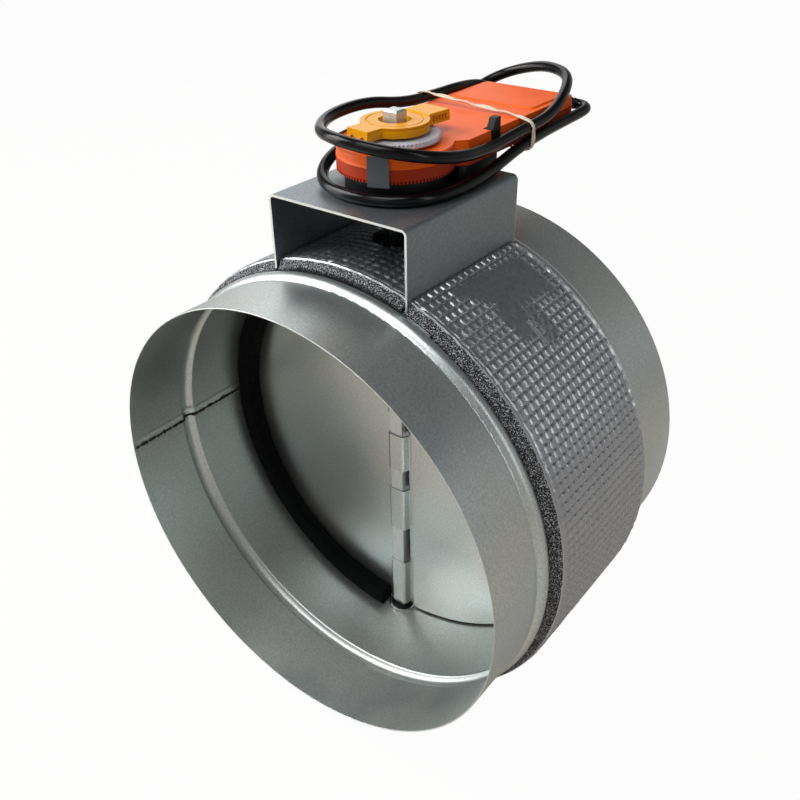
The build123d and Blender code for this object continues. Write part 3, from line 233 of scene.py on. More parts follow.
def drill(piece: bpy.types.Object, centre: tuple[float, float, float], radius: float, depth: float) -> None:
    """Drills an upright round hole through a closed piece.

    Args:
        piece: The mesh object.
        centre: The middle of the hole.
        radius: Its radius.
        depth: Its whole height.
    """
    start_clean()
    bpy.ops.mesh.primitive_cylinder_add(vertices=48, radius=radius, depth=depth, location=centre)
    cutter = bpy.context.object
    hole = piece.modifiers.new("hole", "BOOLEAN")
    hole.operation = "DIFFERENCE"
    hole.object = cutter
    apply_modifiers(piece)
    bpy.data.objects.remove(cutter)


def inside(outline: tuple[tuple[float, float], ...], x: float, y: float) -> bool:
    """Tells whether a point lies inside a closed outline.

    Args:
        outline: The corners of the outline in their order.
        x: The point's first coordinate.
        y: Its second one.

    Returns:
        True inside the outline.
    """
    found = False
    for (ax, ay), (bx, by) in zip(outline, outline[1:] + outline[:1]):
        if (ay > y) != (by > y) and x < ax + (y - ay) / (by - ay) * (bx - ax):
            found = not found
    return found


def dress(piece: bpy.types.Object, finish: bpy.types.Material, replaced: tuple[str, ...] = ()) -> None:
    """Gives a new piece its finish, its body and the nodes it stands for.

    Args:
        piece: The new piece.
        finish: Its material.
        replaced: The nodes that it replaces.
    """
    piece.data.materials.clear()
    piece.data.materials.append(finish)
    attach(piece, CASING)
    if replaced:
        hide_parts(*replaced)
    log.info("%s is made", piece.name)


@dataclass
class Surface:
    """A material's node tree, its shader, and the object coordinates that its patterns read."""

    tree: bpy.types.NodeTree
    shader: bpy.types.Node
    place: bpy.types.NodeSocket

    def tone(
        self, colour: tuple[float, ...] | bpy.types.NodeSocket, pattern: bpy.types.Node, low: float, high: float
    ) -> bpy.types.NodeSocket:
        """Darkens and lightens a colour with a noise.

        Args:
            colour: The colour, or the socket that gives it.
            pattern: The noise texture.
            low: Factor on the colour where the noise is low.
            high: Factor where it is high.

        Returns:
            The socket with the toned colour.
        """
        span = {"Value": pattern.outputs["Fac"], **NOISE_SPAN, "To Min": low, "To Max": high}
        factor = add_node(self.tree, RANGE, {}, span).outputs["Result"]
        return add_node(
            self.tree, "ShaderNodeVectorMath", {"operation": "SCALE"}, {0: colour, "Scale": factor}
        ).outputs[0]

    def skin(
        self,
        pattern: bpy.types.Node,
        strength: float,
        depth: float,
        sheen: bpy.types.Node | None = None,
        roughness: tuple[float, float] = (0.0, 1.0),
    ) -> None:
        """Raises a noise on the surface, and varies the roughness with a second one where it is given.

        Args:
            pattern: The noise texture that is raised.
            strength: Strength of the bump.
            depth: Its depth.
            sheen: The noise texture that varies the roughness.
            roughness: The roughness where that noise is low and where it is high.
        """
        relief = {"Strength": strength, "Distance": depth, "Height": pattern.outputs["Fac"]}
        bump = add_node(self.tree, "ShaderNodeBump", {}, relief)
        self.tree.links.new(bump.outputs[0], self.shader.inputs["Normal"])
        if sheen is not None:
            low, high = roughness
            span = {"Value": sheen.outputs["Fac"], **NOISE_SPAN, "To Min": low, "To Max": high}
            shine = add_node(self.tree, RANGE, {}, span)
            self.tree.links.new(shine.outputs["Result"], self.shader.inputs["Roughness"])


@dataclass(frozen=True)
class Finish:
    """A surface finish: its name, its main colour and how it shines."""

    name: str
    colour: str
    roughness: float
    metallic: float = 0.0

    def build(self) -> bpy.types.Material:
        """Builds the material with its patterns.

        Returns:
            The material.
        """
        material = bpy.data.materials.new(self.name)
        material.use_nodes = True
        tree = material.node_tree
        shader = tree.nodes["Principled BSDF"]
        shader.inputs["Base Color"].default_value = linear(self.colour)
        shader.inputs["Roughness"].default_value = self.roughness
        shader.inputs["Metallic"].default_value = self.metallic
        place = add_node(tree, "ShaderNodeTexCoord", {}, {}).outputs["Object"]
        self.pattern(Surface(tree, shader, place))
        return material

    def pattern(self, surface: Surface) -> None:
        """Adds the finish's own patterns to the shader."""


@dataclass(frozen=True)
class ZincSheet(Finish):
    """Hot-dip galvanised steel sheet: a metal skin clouded in warm and cool grey, partly the passivation's own
    tint and partly painted reflections of the surroundings, and speckled by fine zinc grains.
    """

    cool: str = "#b2c1c4"
    warm: str = "#c4c1ba"
    # lighter colour of the cut edges: a painted highlight
    edge: str = "#d5d9d8"
    cloud: float = 55 * MM
    grain: float = 1.1 * MM  # the real grain is finer, drawn as coarse as it needs to show
    speckle: float = 0.14  # share by which the grain darkens and lightens
    relief: float = 0.05 * MM
    edge_low: float = -1.0  # the cut edges lie beyond these places along Y
    edge_high: float = 1.0

    def pattern(self, surface: Surface) -> None:
        """Adds clouds of warm and cool grey, partly painted reflections, grain in tone and bump, and cut edges
        across Y painted lighter as a highlight.

        Args:
            surface: The material's nodes.
        """
        tree, place = surface.tree, surface.place
        # warm and cool clouds: partly the passivation's tint, partly painted reflections of warm and cool
        # surroundings
        clouds = add_node(tree, NOISE, {}, {"Vector": place, "Scale": 1 / self.cloud, "Detail": 3.0})
        tint = add_node(tree, MIX, RGBA, {0: clouds.outputs["Fac"], 6: linear(self.cool), 7: linear(self.warm)})
        grain = add_node(tree, NOISE, {}, {"Vector": place, "Scale": 1 / self.grain, "Detail": 2.0})
        speckled = surface.tone(tint.outputs[2], grain, 1 - self.speckle, 1 + self.speckle)
        along = add_node(tree, "ShaderNodeSeparateXYZ", {}, {0: place}).outputs["Y"]
        # the cut edges beyond edge_low and edge_high are painted lighter, as a highlight along them
        front = add_node(tree, MATH, {"operation": "LESS_THAN"}, {0: along, 1: self.edge_low})
        rear = add_node(tree, MATH, {"operation": "GREATER_THAN"}, {0: along, 1: self.edge_high})
        lit_edge_mask = add_node(tree, MATH, {"operation": "MAXIMUM"}, {0: front.outputs[0], 1: rear.outputs[0]})
        colour = add_node(tree, MIX, RGBA, {0: lit_edge_mask.outputs[0], 6: speckled, 7: linear(self.edge)})
        tree.links.new(colour.outputs[2], surface.shader.inputs["Base Color"])
        surface.skin(grain, 0.18, self.relief, clouds, (self.roughness - 0.05, self.roughness + 0.07))


@dataclass(frozen=True)
class Moulded(Finish):
    """Injection moulded plastic: an even colour with a faint mottle and a fine spark-eroded texture."""

    mottle: float = 0.05
    cloud: float = 14 * MM
    texture: float = 0.5 * MM
    relief: float = 0.03 * MM
    glow: float = 0.0
    glow_depth: float = 2 * MM
    gloss: float = 0.5  # specular level: lower where the skin is matt and deep in colour

    def pattern(self, surface: Surface) -> None:
        """Mottles the colour, varies the shine and textures the skin.

        Args:
            surface: The material's nodes.
        """
        tree, shader, place = surface.tree, surface.shader, surface.place
        clouds = add_node(tree, NOISE, {}, {"Vector": place, "Scale": 1 / self.cloud, "Detail": 4.0})
        colour = surface.tone(linear(self.colour)[:3], clouds, 1 - self.mottle, 1 + self.mottle)
        tree.links.new(colour, shader.inputs["Base Color"])
        skin = add_node(tree, NOISE, {}, {"Vector": place, "Scale": 1 / self.texture, "Detail": 2.0})
        surface.skin(skin, 0.3, self.relief, skin, (self.roughness - 0.04, self.roughness + 0.04))
        shader.inputs["Specular IOR Level"].default_value = self.gloss
        if self.glow:
            shader.inputs["Subsurface Weight"].default_value = self.glow
            shader.inputs["Subsurface Radius"].default_value = (1.0, 0.5, 0.1)
            shader.inputs["Subsurface Scale"].default_value = self.glow_depth


@dataclass(frozen=True)
class CutFoam(Finish):
    """Closed-cell foam: cut cells that catch the light as specks on a dark ground."""

    speck: str = "#b3b4b8"
    cell: float = 0.62 * MM
    share: float = 0.5  # value of the noise at which the specks begin
    blur: float = 0.14  # how much more makes them whole
    relief: float = 0.5 * MM
    gloss: float = 0.5

    def pattern(self, surface: Surface) -> None:
        """Speckles the surface with cut cells, in tone and in bump.

        Args:
            surface: The material's nodes.
        """
        tree, shader = surface.tree, surface.shader
        scale = {"Vector": surface.place, "Scale": 1 / self.cell, "Detail": 3.0, "Distortion": 0.6}
        cells = add_node(tree, NOISE, {}, scale)
        span = {"Value": cells.outputs["Fac"], "From Min": self.share, "From Max": self.share + self.blur}
        mask = add_node(tree, RANGE, SMOOTH, span).outputs["Result"]
        colour = add_node(tree, MIX, RGBA, {0: mask, 6: linear(self.colour), 7: linear(self.speck)})
        tree.links.new(colour.outputs[2], shader.inputs["Base Color"])
        shader.inputs["Specular IOR Level"].default_value = self.gloss
        surface.skin(cells, 0.8, self.relief)


@dataclass(frozen=True)
class LacqueredFoil(Finish):
    """Lacquered aluminium foil, rolled over the foam: a soft grey sheen with fine creases."""

    dark: str = "#9a9da1"
    cloud: float = 30 * MM
    crease: float = 2.4 * MM
    relief: float = 0.15 * MM

    def pattern(self, surface: Surface) -> None:
        """Tints the foil in soft clouds and lays fine creases over it.

        Args:
            surface: The material's nodes.
        """
        tree, place = surface.tree, surface.place
        clouds = add_node(tree, NOISE, {}, {"Vector": place, "Scale": 1 / self.cloud, "Detail": 3.0})
        tints = {0: clouds.outputs["Fac"], 6: linear(self.dark), 7: linear(self.colour)}
        colour = add_node(tree, MIX, RGBA, tints)
        tree.links.new(colour.outputs[2], surface.shader.inputs["Base Color"])
        creases = add_node(tree, NOISE, {}, {"Vector": place, "Scale": 1 / self.crease, "Detail": 4.0})
        surface.skin(creases, 0.4, self.relief, creases, (self.roughness - 0.06, self.roughness + 0.08))


@dataclass(frozen=True)
class DrawnBar(Finish):
    """Bright zinc-plated or turned metal: long faint lines along it."""

    line: float = 0.5 * MM
    relief: float = 0.04 * MM

    def pattern(self, surface: Surface) -> None:
        """Draws the lines along Z, in tone and in bump.

        Args:
            surface: The material's nodes.
        """
        tree = surface.tree
        stretched = add_node(tree, "ShaderNodeMapping", {}, {"Vector": surface.place, "Scale": (1.0, 1.0, 0.05)})
        scale = {"Vector": stretched.outputs[0], "Scale": 1 / self.line, "Detail": 3.0}
        lines = add_node(tree, NOISE, {}, scale)
        colour = surface.tone(linear(self.colour)[:3], lines, 0.85, 1.1)
        tree.links.new(colour, surface.shader.inputs["Base Color"])
        surface.skin(lines, 0.3, self.relief)


class Finishes:
    """Every finish on the damper, built once and shared."""

    def __init__(self) -> None:
        """Builds the materials."""
        # Thin galvanised sheet of the tube: a soft grey sheen with a fine grain
        self.tube = ZincSheet(
            "galvanised_tube_sheet", "#bcc6c8", 0.38, 0.92, edge_low=0.15 * MM, edge_high=187.85 * MM
        ).build()
        # The same sheet on the blade: a little smoother
        self.blade = ZincSheet("galvanised_blade_sheet", "#b8c1c3", 0.33, 0.95, "#b3c0c3", "#bfb9b0").build()
        # Thicker pre-galvanised strip of the bracket: darker, with its cut edges painted lighter as a highlight
        self.strip = ZincSheet(
            "galvanised_bracket_strip", "#868f93", 0.42, 0.9, "#7f898e", "#8b8f91",
            edge_low=SHAFT_Y - 46.3 * MM, edge_high=SHAFT_Y + 46.3 * MM,
        ).build()
        # Bright zinc plating of the rings, rivets and screws
        self.plated = DrawnBar("zinc_plated_steel", "#b9bdbc", 0.24, 1.0).build()
        # The square bar: drawn steel with a duller plating
        self.bar = DrawnBar("dull_plated_bar", "#c9cdcc", 0.42, 0.85).build()
        # Upper housing: satin moulded ABS
        self.orange = Moulded("orange_moulded_abs", "#ec5f0c", 0.42, mottle=0.04, gloss=0.22).build()
        # Lower shell: the same orange plastic, darkened and reddened as painted shade, for the shade that the
        # cable and the head cast on it
        self.shaded_orange = Moulded("shaded_orange_moulded_abs", "#ab3006", 0.5, mottle=0.04, gloss=0.2).build()
        # Yellow adapter: slightly translucent moulded acetal
        self.yellow = Moulded(
            "yellow_moulded_acetal", "#e39a02", 0.3, mottle=0.06, glow=0.1, gloss=0.2
        ).build()
        # Pale grey indicator disc: satin acetal
        self.pale = Moulded("pale_grey_acetal", "#bcc0ca", 0.4).build()
        # Dark grey end stops: matt nylon
        self.grey = Moulded("slate_grey_nylon", "#4c5359", 0.48).build()
        # Black nylon of the base, bushes, button and strain relief: matt
        self.black = Moulded("black_moulded_nylon", "#0e1012", 0.45, gloss=0.25).build()
        # Natural acetal gears: milky white
        self.natural = Moulded("natural_acetal", "#e8e4d8", 0.38, glow=0.2).build()
        # Foam core of the sleeve: grey cells on a dark ground
        self.foam = CutFoam("cut_insulation_foam", "#1d1e21", 0.85).build()
        # Black seal foam: finer and almost without specks
        self.seal = CutFoam(
            "black_seal_foam", "#08090a", 0.9,
            speck="#1a1c1f", cell=0.6 * MM, share=0.52, relief=0.3 * MM, gloss=0.12,
        ).build()
        # Foil facing: a soft grey sheen
        self.foil = LacqueredFoil("lacquered_embossed_foil", "#adb0b3", 0.3, 0.92).build()
        # Cable sheath: glossy extruded PVC
        self.sheath = Moulded(
            "black_pvc_sheath", "#070708", 0.19, mottle=0.08, texture=1.4 * MM, relief=0.003 * MM, gloss=0.22
        ).build()
        # Insulation of two of the cores: satin extruded PVC
        self.core_red = Moulded("red_pvc_core", "#a3221c", 0.4, mottle=0.08).build()
        self.core_white = Moulded("white_pvc_core", "#d6d5d0", 0.4, mottle=0.08).build()
        # Natural rubber band: pale and a little translucent
        self.rubber = Moulded("natural_rubber_band", "#d9ccb4", 0.45, mottle=0.08, glow=0.15).build()
        # Burnt zinc of the seam's weld: dark, dull and ragged
        self.oxide = ZincSheet("burnt_weld_oxide", "#24272a", 0.6, 0.6, "#17191b", "#4b4744", cloud=3 * MM).build()
        # Hidden turned brass and the board's green solder mask
        self.brass = DrawnBar("turned_brass", "#c7a24b", 0.28, 1.0).build()
        self.board = Moulded("green_solder_mask", "#1f5a3a", 0.35, mottle=0.1).build()


@dataclass
class Camera:
    """The photograph's viewpoint, solved from the duct's rings and the square bar."""

    place: tuple[float, float, float] = (0.26239, -0.24253, 0.30437)
    azimuth: float = 37.32
    elevation: float = 32.98
    roll: float = -0.647
    focal: float = 894.1  # in pixels of the 800 pixel frame
    centre: tuple[float, float] = (408.06, 409.6)  # pixel that the lens points at
    frame: float = 800.0
    sensor: float = 36.0

    def build(self) -> None:
        """Makes the camera and hands it to the scene."""
        data = bpy.data.cameras.new("photo_camera")
        data.sensor_width = self.sensor
        data.lens = self.focal / self.frame * self.sensor
        data.shift_x = (self.frame / 2 - self.centre[0]) / self.frame
        data.shift_y = (self.centre[1] - self.frame / 2) / self.frame
        data.clip_start = 0.01
        az, el, turn = (math.radians(angle) for angle in (self.azimuth, self.elevation, self.roll))
        back = Vector((math.sin(az) * math.cos(el), -math.cos(az) * math.cos(el), math.sin(el)))
        right = Vector((math.cos(az), math.sin(az), 0))
        up = back.cross(right)
        across = math.cos(turn) * right + math.sin(turn) * up
        upward = -math.sin(turn) * right + math.cos(turn) * up
        camera = bpy.data.objects.new("photo_camera", data)
        bpy.context.scene.collection.objects.link(camera)
        camera.matrix_world = Matrix.Translation(self.place) @ Matrix((across, upward, back)).transposed().to_4x4()
        bpy.context.scene.camera = camera
        log.info("camera is set")


@dataclass
class Studio:
    """Pale floor, white surroundings that darken overhead, and soft lamps."""

    floor_level: float = -132.4 * MM
    floor_size: float = 8.0
    floor_colour: str = "#d2c8bd"  # of the floor as the lamps light it
    floor_lift: float = 0.97  # share of plain white to the eye, which leaves only the softest of the shadow
    gloss_lift: float = 0.2  # the same share to polished surfaces, over the floor as it is lit
    surround: float = 0.2  # strength of the surroundings as a light, where they are 1 to the eye
    gloss_surround: float = 0.5  # their strength to polished surfaces
    zenith: float = 0.2  # share of these strengths that is left overhead
    fade: tuple[float, float] = (0.12, 0.62)  # heights between which they fall to it, the zenith being 1
    lamps: tuple[tuple[str, float, float, float, float, float], ...] = (
        ("window_lamp", 300, 40, 18.0, 0.8, 0.8),
        ("low_window_lamp", 300, 10, 7.5, 0.8, 0.8),
        ("overhead_lamp", 0, 70, 9.0, 0.8, 0.8),
        ("back_lamp", 225, 40, 3.0, 0.8, 0.8),
        ("low_back_lamp", 225, 10, 1.4, 0.8, 0.8),
        ("front_lamp", 0, 40, 2.5, 0.8, 0.8),
        ("side_strip", 88, 33, 3.0, 0.3, 1.3),
    )  # name, azimuth from the front towards +X, elevation, watts, width and height
    lamp_reach: float = 1.5
    lamp_aim: tuple[float, float, float] = (0, SHAFT_Y, 0.03)

    def build(self) -> None:
        """Makes the floor, the world and the lamps."""
        bpy.context.scene.view_settings.view_transform = "Standard"
        self.add_floor()
        self.add_world()
        for name, azimuth, elevation, power, width, height in self.lamps:
            self.add_lamp(name, math.radians(azimuth), math.radians(elevation), power, (width, height))
        log.info("studio is lit")

    def add_floor(self) -> None:
        """Lays the floor under the sleeve's lowest point."""
        start_clean()
        bpy.ops.mesh.primitive_plane_add(size=self.floor_size, location=(0, 0, self.floor_level))
        floor = bpy.context.object
        floor.name = "studio_floor"
        material = bpy.data.materials.new("white_studio_paper")
        material.use_nodes = True
        tree = material.node_tree
        paper = tree.nodes["Principled BSDF"]
        paper.inputs["Base Color"].default_value = linear(self.floor_colour)
        paper.inputs["Roughness"].default_value = 0.9
        white = add_node(tree, "ShaderNodeEmission", {}, {"Color": linear("#ffffff"), "Strength": 1.0})
        share = self.seen_share(tree, self.floor_lift, self.gloss_lift)
        mix = add_node(tree, "ShaderNodeMixShader", {}, {0: share, 1: paper.outputs[0], 2: white.outputs[0]})
        tree.links.new(mix.outputs[0], tree.nodes["Material Output"].inputs["Surface"])
        floor.data.materials.append(material)

    def seen_share(self, tree: bpy.types.NodeTree, plain: float, gloss: float) -> bpy.types.NodeSocket:
        """Works out the share of the white background for the rays that show it.

        Args:
            tree: The tree that gets the nodes.
            plain: Share for rays straight from the camera or through glass.
            gloss: Share for rays off polished surfaces.

        Returns:
            The socket with the share, 0 for all other rays.
        """
        rays = add_node(tree, "ShaderNodeLightPath", {}, {}).outputs
        clear = add_node(
            tree, MATH, {"operation": "MAXIMUM"}, {0: rays["Is Camera Ray"], 1: rays["Is Transmission Ray"]}
        )
        seen = add_node(tree, MATH, {"operation": "MULTIPLY"}, {0: clear.outputs[0], 1: plain})
        polished = {0: rays["Is Glossy Ray"], 1: gloss, 2: seen.outputs[0]}
        return add_node(tree, MATH, {"operation": "MULTIPLY_ADD"}, polished).outputs[0]

    def add_world(self) -> None:
        """Makes the surroundings: white round the horizon, darker overhead, and softer as a light."""
        world = bpy.data.worlds.new("studio_surround")
        bpy.context.scene.world = world
        world.use_nodes = True
        tree = world.node_tree
        direction = add_node(tree, "ShaderNodeTexCoord", {}, {}).outputs["Generated"]
        rise = add_node(tree, "ShaderNodeSeparateXYZ", {}, {0: direction}).outputs["Z"]
        low, high = self.fade
        span = {"Value": rise, "From Min": low, "From Max": high, "To Min": 1.0, "To Max": self.zenith}
        fall = add_node(tree, RANGE, SMOOTH, span).outputs["Result"]
        share = self.seen_share(tree, 1 - self.surround, self.gloss_surround - self.surround)
        strength = add_node(tree, MATH, {"operation": "ADD"}, {0: share, 1: self.surround}).outputs[0]
        whole = add_node(tree, MATH, {"operation": "MULTIPLY"}, {0: strength, 1: fall}).outputs[0]
        background = tree.nodes["Background"]
        background.inputs["Color"].default_value = linear("#ffffff")
        tree.links.new(whole, background.inputs["Strength"])

    def add_lamp(
        self, name: str, azimuth: float, elevation: float, power: float, size: tuple[float, float]
    ) -> None:
        """Hangs a soft box that faces the damper.

        Args:
            name: The lamp's name.
            azimuth: Its direction in radians, from the front towards +X.
            elevation: Its height in radians over the level.
            power: Its power in watts.
            size: Its width and height.
        """
        data = bpy.data.lights.new(name, "AREA")
        data.shape = "RECTANGLE"
        data.size, data.size_y = size
        data.energy = power
        lamp = bpy.data.objects.new(name, data)
        bpy.context.scene.collection.objects.link(lamp)
        level = math.cos(elevation)
        reach = Vector((math.sin(azimuth) * level, -math.cos(azimuth) * level, math.sin(elevation)))
        place = Matrix.Translation(Vector(self.lamp_aim) + self.lamp_reach * reach)
        lamp.matrix_world = place @ (-reach).to_track_quat("-Z", "Y").to_matrix().to_4x4()


@dataclass
class CableCoil:
    """Black PVC cable from the actuator's rear wall, coiled round it and held by a rubber band."""

    radius: float = 2.9 * MM
    length: float = 868 * MM
    # Strain relief: distance along the cable and radius, in millimetres, of its flange, first ring and mouth
    relief_start: float = SHAFT_Y + 125.1 * MM
    relief_flange: tuple[tuple[float, float], ...] = (
        (0.0, 0.0), (0.0, 5.1), (0.3, 5.4), (1.6, 5.4), (1.9, 5.1), (1.9, 4.4),
    )
    relief_ring: tuple[tuple[float, float], ...] = ((2.4, 4.35), (3.5, 4.25), (3.7, 3.85), (4.3, 3.8))
    relief_rings: int = 4
    relief_step: tuple[float, float] = (2.2, -0.3)  # from one ring to the next
    relief_mouth: tuple[tuple[float, float], ...] = ((11.4, 3.2), (12.2, 3.0), (12.3, 0.0))
    # A core from the sheath's end: the same of its insulation, the ferrule's collar and the ferrule's tube
    core_profile: tuple[tuple[float, float], ...] = (
        (-1.0, 0.0), (-1.0, 0.85), (2.0, 0.85), (4.0, 0.85), (6.4, 0.85),
        (6.4, 1.1), (7.2, 1.1), (7.4, 0.6), (11.0, 0.55), (11.0, 0.0),
    )
    ferrule_start: float = 6.3 * MM
    core_offset: float = 1.15 * MM  # from the cable's middle to a core's
    core_splay: float = 0.9 * MM
    core_sag: float = 0.5 * MM
    band_place: float = SHAFT_Y + 67 * MM
    band_width: float = 2.3 * MM
    band_thickness: float = 0.8 * MM
    band_step: float = 1.2 * MM
    band_rest: float = 0.15 * MM  # between the cable and the band
    band_sway: float = 0.25 * MM
    band_lift: float = 0.5 * MM  # where it hangs free and twists
    band_twist: float = 38.0  # degrees
    # Across the band in half widths from its middle, and through it in thicknesses from its inner face
    band_section: tuple[tuple[float, float], ...] = (
        (-1.0, 0.25), (-0.85, 0.0), (0.0, -0.04), (0.85, 0.0), (1.0, 0.25),
        (1.0, 0.75), (0.85, 1.0), (0.0, 1.04), (-0.85, 1.0), (-1.0, 0.75),
    )
    body_corners: tuple[tuple[float, float], ...] = ((29.0, 168.3), (28.5, 180.5))  # millimetres, right side
    route: tuple[tuple[float, float, float], ...] = (
        (20, 127, 173.6), (20, 131.3, 173.6), (22.6, 134.8, 173.2), (26.7, 136.1, 172.8), (30.8, 134.8, 172.5),
        (33.4, 131.3, 172.2), (33.7, 123.4, 171.7), (33.3, 109.5, 171.1), (32.8, 86, 170.1),
        (33.4, 60, 168.3), (33.8, 33, 163.3), (35, 8, 162.2), (31.5, -17, 162.2),
        (14, -32, 162.2), (-11, -33, 162.2), (-29, -23.5, 164), (-36.3, -4, 170), (-34.5, 24, 172.8),
        (-33.8, 58, 173), (-34.6, 90, 172.2), (-37.8, 112, 172.4), (-37.8, 130, 175.6), (-29.5, 141.5, 181.2),
        (-13.5, 143.5, 186.8), (4, 139, 190.4), (21.5, 129.5, 189.6), (30.5, 111, 185.2), (34, 88, 177.4),
        (33.2, 58, 176.2), (33.6, 28, 174.6), (35, 2, 177.6), (29.5, -19.5, 182.3), (12.5, -32.8, 186),
        (-9, -34.8, 188), (-27, -24.5, 186.6), (-37.5, -5, 187.6), (-36, 22, 188.6), (-32.6, 48, 183.2),
        (-33.4, 76, 181.3), (-32.6, 97, 181.4), (-33.5, 111.5, 180.2), (-32.8, 123, 178.6), (-27.8, 131.8, 175.2),
        (-19, 136.6, 172.6), (-8.5, 136.6, 171), (2, 134.2, 170.4),
    )  # millimetres from the shaft, as the solid's

    def build(self, finishes: Finishes) -> None:
        """Makes the cable with its strain relief and bare end, and the band round its turns.

        Args:
            finishes: The finishes of the damper.
        """
        points = [Vector((x * MM, SHAFT_Y + y * MM, z * MM)) for x, y, z in self.route]
        cable = self.lay("cable_coil", points)
        bare = self.lay("cable_line", points)
        bare.data.bevel_depth = 0
        mesh = bpy.data.meshes.new_from_object(bare)
        line = [vertex.co.copy() for vertex in mesh.vertices]
        bpy.data.meshes.remove(mesh)
        bpy.data.objects.remove(bare)
        relief = self.relief(line, finishes)
        cores = self.cores(line, finishes)
        dress(cable, finishes.sheath, ("cord",))
        self.band(line, finishes)

    def lay(self, name: str, points: list[Vector]) -> bpy.types.Object:
        """Lays a round smooth curve.

        Args:
            name: The curve's name.
            points: Its control points.

        Returns:
            The curve object.
        """
        data = bpy.data.curves.new(name, "CURVE")
        data.dimensions = "3D"
        data.bevel_depth = self.radius
        data.bevel_resolution = 6
        data.use_fill_caps = True
        data.resolution_u = 10
        spline = data.splines.new("NURBS")
        spline.points.add(len(points) - 1)
        for target, point in zip(spline.points, points):
            target.co = (*point, 1)
        spline.order_u = 3
        spline.use_endpoint_u = True
        cable = bpy.data.objects.new(name, data)
        bpy.context.scene.collection.objects.link(cable)
        return cable

    def relief(self, line: list[Vector], finishes: Finishes) -> bpy.types.Object:
        """Makes the tapered strain relief: a flange on the wall and a ringed sleeve along the cable.

        Args:
            line: The cable's middle line.
            finishes: The finishes of the damper.

        Returns:
            The strain relief.
        """
        start = Vector((line[0].x, self.relief_start, line[0].z))
        pitch, taper = self.relief_step
        profile = list(self.relief_flange)
        for ring in range(self.relief_rings):
            profile += [(place + pitch * ring, radius + taper * ring) for place, radius in self.relief_ring]
        profile += self.relief_mouth
        walked = [0.0]
        for before, after in zip(line, line[1:]):
            walked.append(walked[-1] + (after - before).length)
        lead = line[0].y - self.relief_start
        places = []
        for distance, _ in profile:
            beyond = distance * MM - lead
            if beyond <= 0:
                places.append(start + Vector((0, distance * MM, 0)))
                continue
            index = next(index for index, length in enumerate(walked) if length >= beyond)
            share = (beyond - walked[index - 1]) / (walked[index] - walked[index - 1])
            places.append(line[index - 1].lerp(line[index], share))
        relief = sweep_round("cable_strain_relief", places, [radius * MM for _, radius in profile], 32)
        bpy.ops.object.shade_smooth_by_angle(angle=math.radians(40))
        dress(relief, finishes.black, ("cable_grommet",))
        return relief

    def cores(self, line: list[Vector], finishes: Finishes) -> list[bpy.types.Object]:
        """Makes the three stripped cores at the cable's far end, each with a crimped ferrule.

        Args:
            line: The cable's middle line.
            finishes: The finishes of the damper.

        Returns:
            The cores.
        """
        end = line[-1]
        ahead = (end - line[-2]).normalized()
        across = ahead.cross(Vector((0, 0, 1))).normalized()
        upward = across.cross(ahead)
        kinds = (
            ("core_black", finishes.sheath, Slot.BLACK_CABLE),
            ("core_red", finishes.core_red, Slot.ORANGE_PLASTIC),
            ("core_white", finishes.core_white, Slot.PALE_PLASTIC),
        )
        made = []
        for index, (name, finish, slot) in enumerate(kinds):
            angle = math.radians(90 + 120 * index)
            side = math.cos(angle) * across + math.sin(angle) * upward
            places = []
            for distance, _ in self.core_profile:
                spread = self.core_offset + self.core_splay * smooth_step(0, 8, distance)
                sag = self.core_sag * smooth_step(2, 10, distance)
                places.append(end + distance * MM * ahead + spread * side - sag * upward)
            core = sweep_round(name, places, [radius * MM for _, radius in self.core_profile], 16)
            dress(core, finish)
            core.data.materials.append(finishes.plated)
            tip = end + self.ferrule_start * ahead
            for face in core.data.polygons:
                if (face.center - tip).dot(ahead) > 0:
                    face.material_index = 1
            made.append(core)
        return made

    def band(self, line: list[Vector], finishes: Finishes) -> None:
        """Stretches the rubber band round the cable's turns and the actuator's body.

        Args:
            line: The cable's middle line.
            finishes: The finishes of the damper.
        """
        rings = []
        for before, after in zip(line, line[1:]):
            if (before.y - self.band_place) * (after.y - self.band_place) < 0:
                share = (self.band_place - before.y) / (after.y - before.y)
                crossing = before.lerp(after, share)
                rings.append((crossing.x, crossing.z, self.radius + self.band_rest))
        rings += [(side * x * MM, z * MM, 0.2 * MM) for side in (-1, 1) for x, z in self.body_corners]
        cloud = sorted(
            (x + radius * math.cos(math.tau * step / 64), z + radius * math.sin(math.tau * step / 64))
            for x, z, radius in rings
            for step in range(64)
        )
        hull = self.half_hull(cloud) + self.half_hull(cloud[::-1])
        loop = []
        for (ax, az), (bx, bz) in zip(hull, hull[1:] + hull[:1]):
            count = max(1, round(math.hypot(bx - ax, bz - az) / self.band_step))
            shares = [step / count for step in range(count)]
            loop += [(ax + (bx - ax) * share, az + (bz - az) * share, count) for share in shares]
        total = len(loop)
        half_width, thickness = self.band_width / 2, self.band_thickness

        def place(column: int, row: int) -> Vector:
            """Lays one point of the grid.

            Args:
                column: The point's column.
                row: Its row.

            Returns:
                Its place.
            """
            x, z, _ = loop[row % total]
            ahead_x, ahead_z, _ = loop[(row + 1) % total]
            back_x, back_z, _ = loop[row - 1]
            normal = Vector((ahead_z - back_z, 0, back_x - ahead_x)).normalized()
            across, out = self.band_section[column % len(self.band_section)]
            free = sum(min(1.0, (loop[(row + index) % total][2] - 1) / 6) / 7 for index in range(-3, 4))
            turn = math.radians(self.band_twist) * free * math.sin(math.tau * row / total * 9)
            sway = self.band_sway * math.sin(math.tau * row / total * 5)
            width = across * half_width
            lift = (out - 0.5) * thickness
            along = width * math.cos(turn) - lift * math.sin(turn)
            outward = width * math.sin(turn) * 0.9 + lift * math.cos(turn)
            outward += 0.5 * thickness + self.band_lift * free * abs(math.sin(turn))
            return Vector((x, self.band_place + sway + along, z)) + normal * outward

        band = lay_grid("rubber_band", len(self.band_section) + 1, total + 1, place)
        dress(band, finishes.rubber, ("cord_band",))

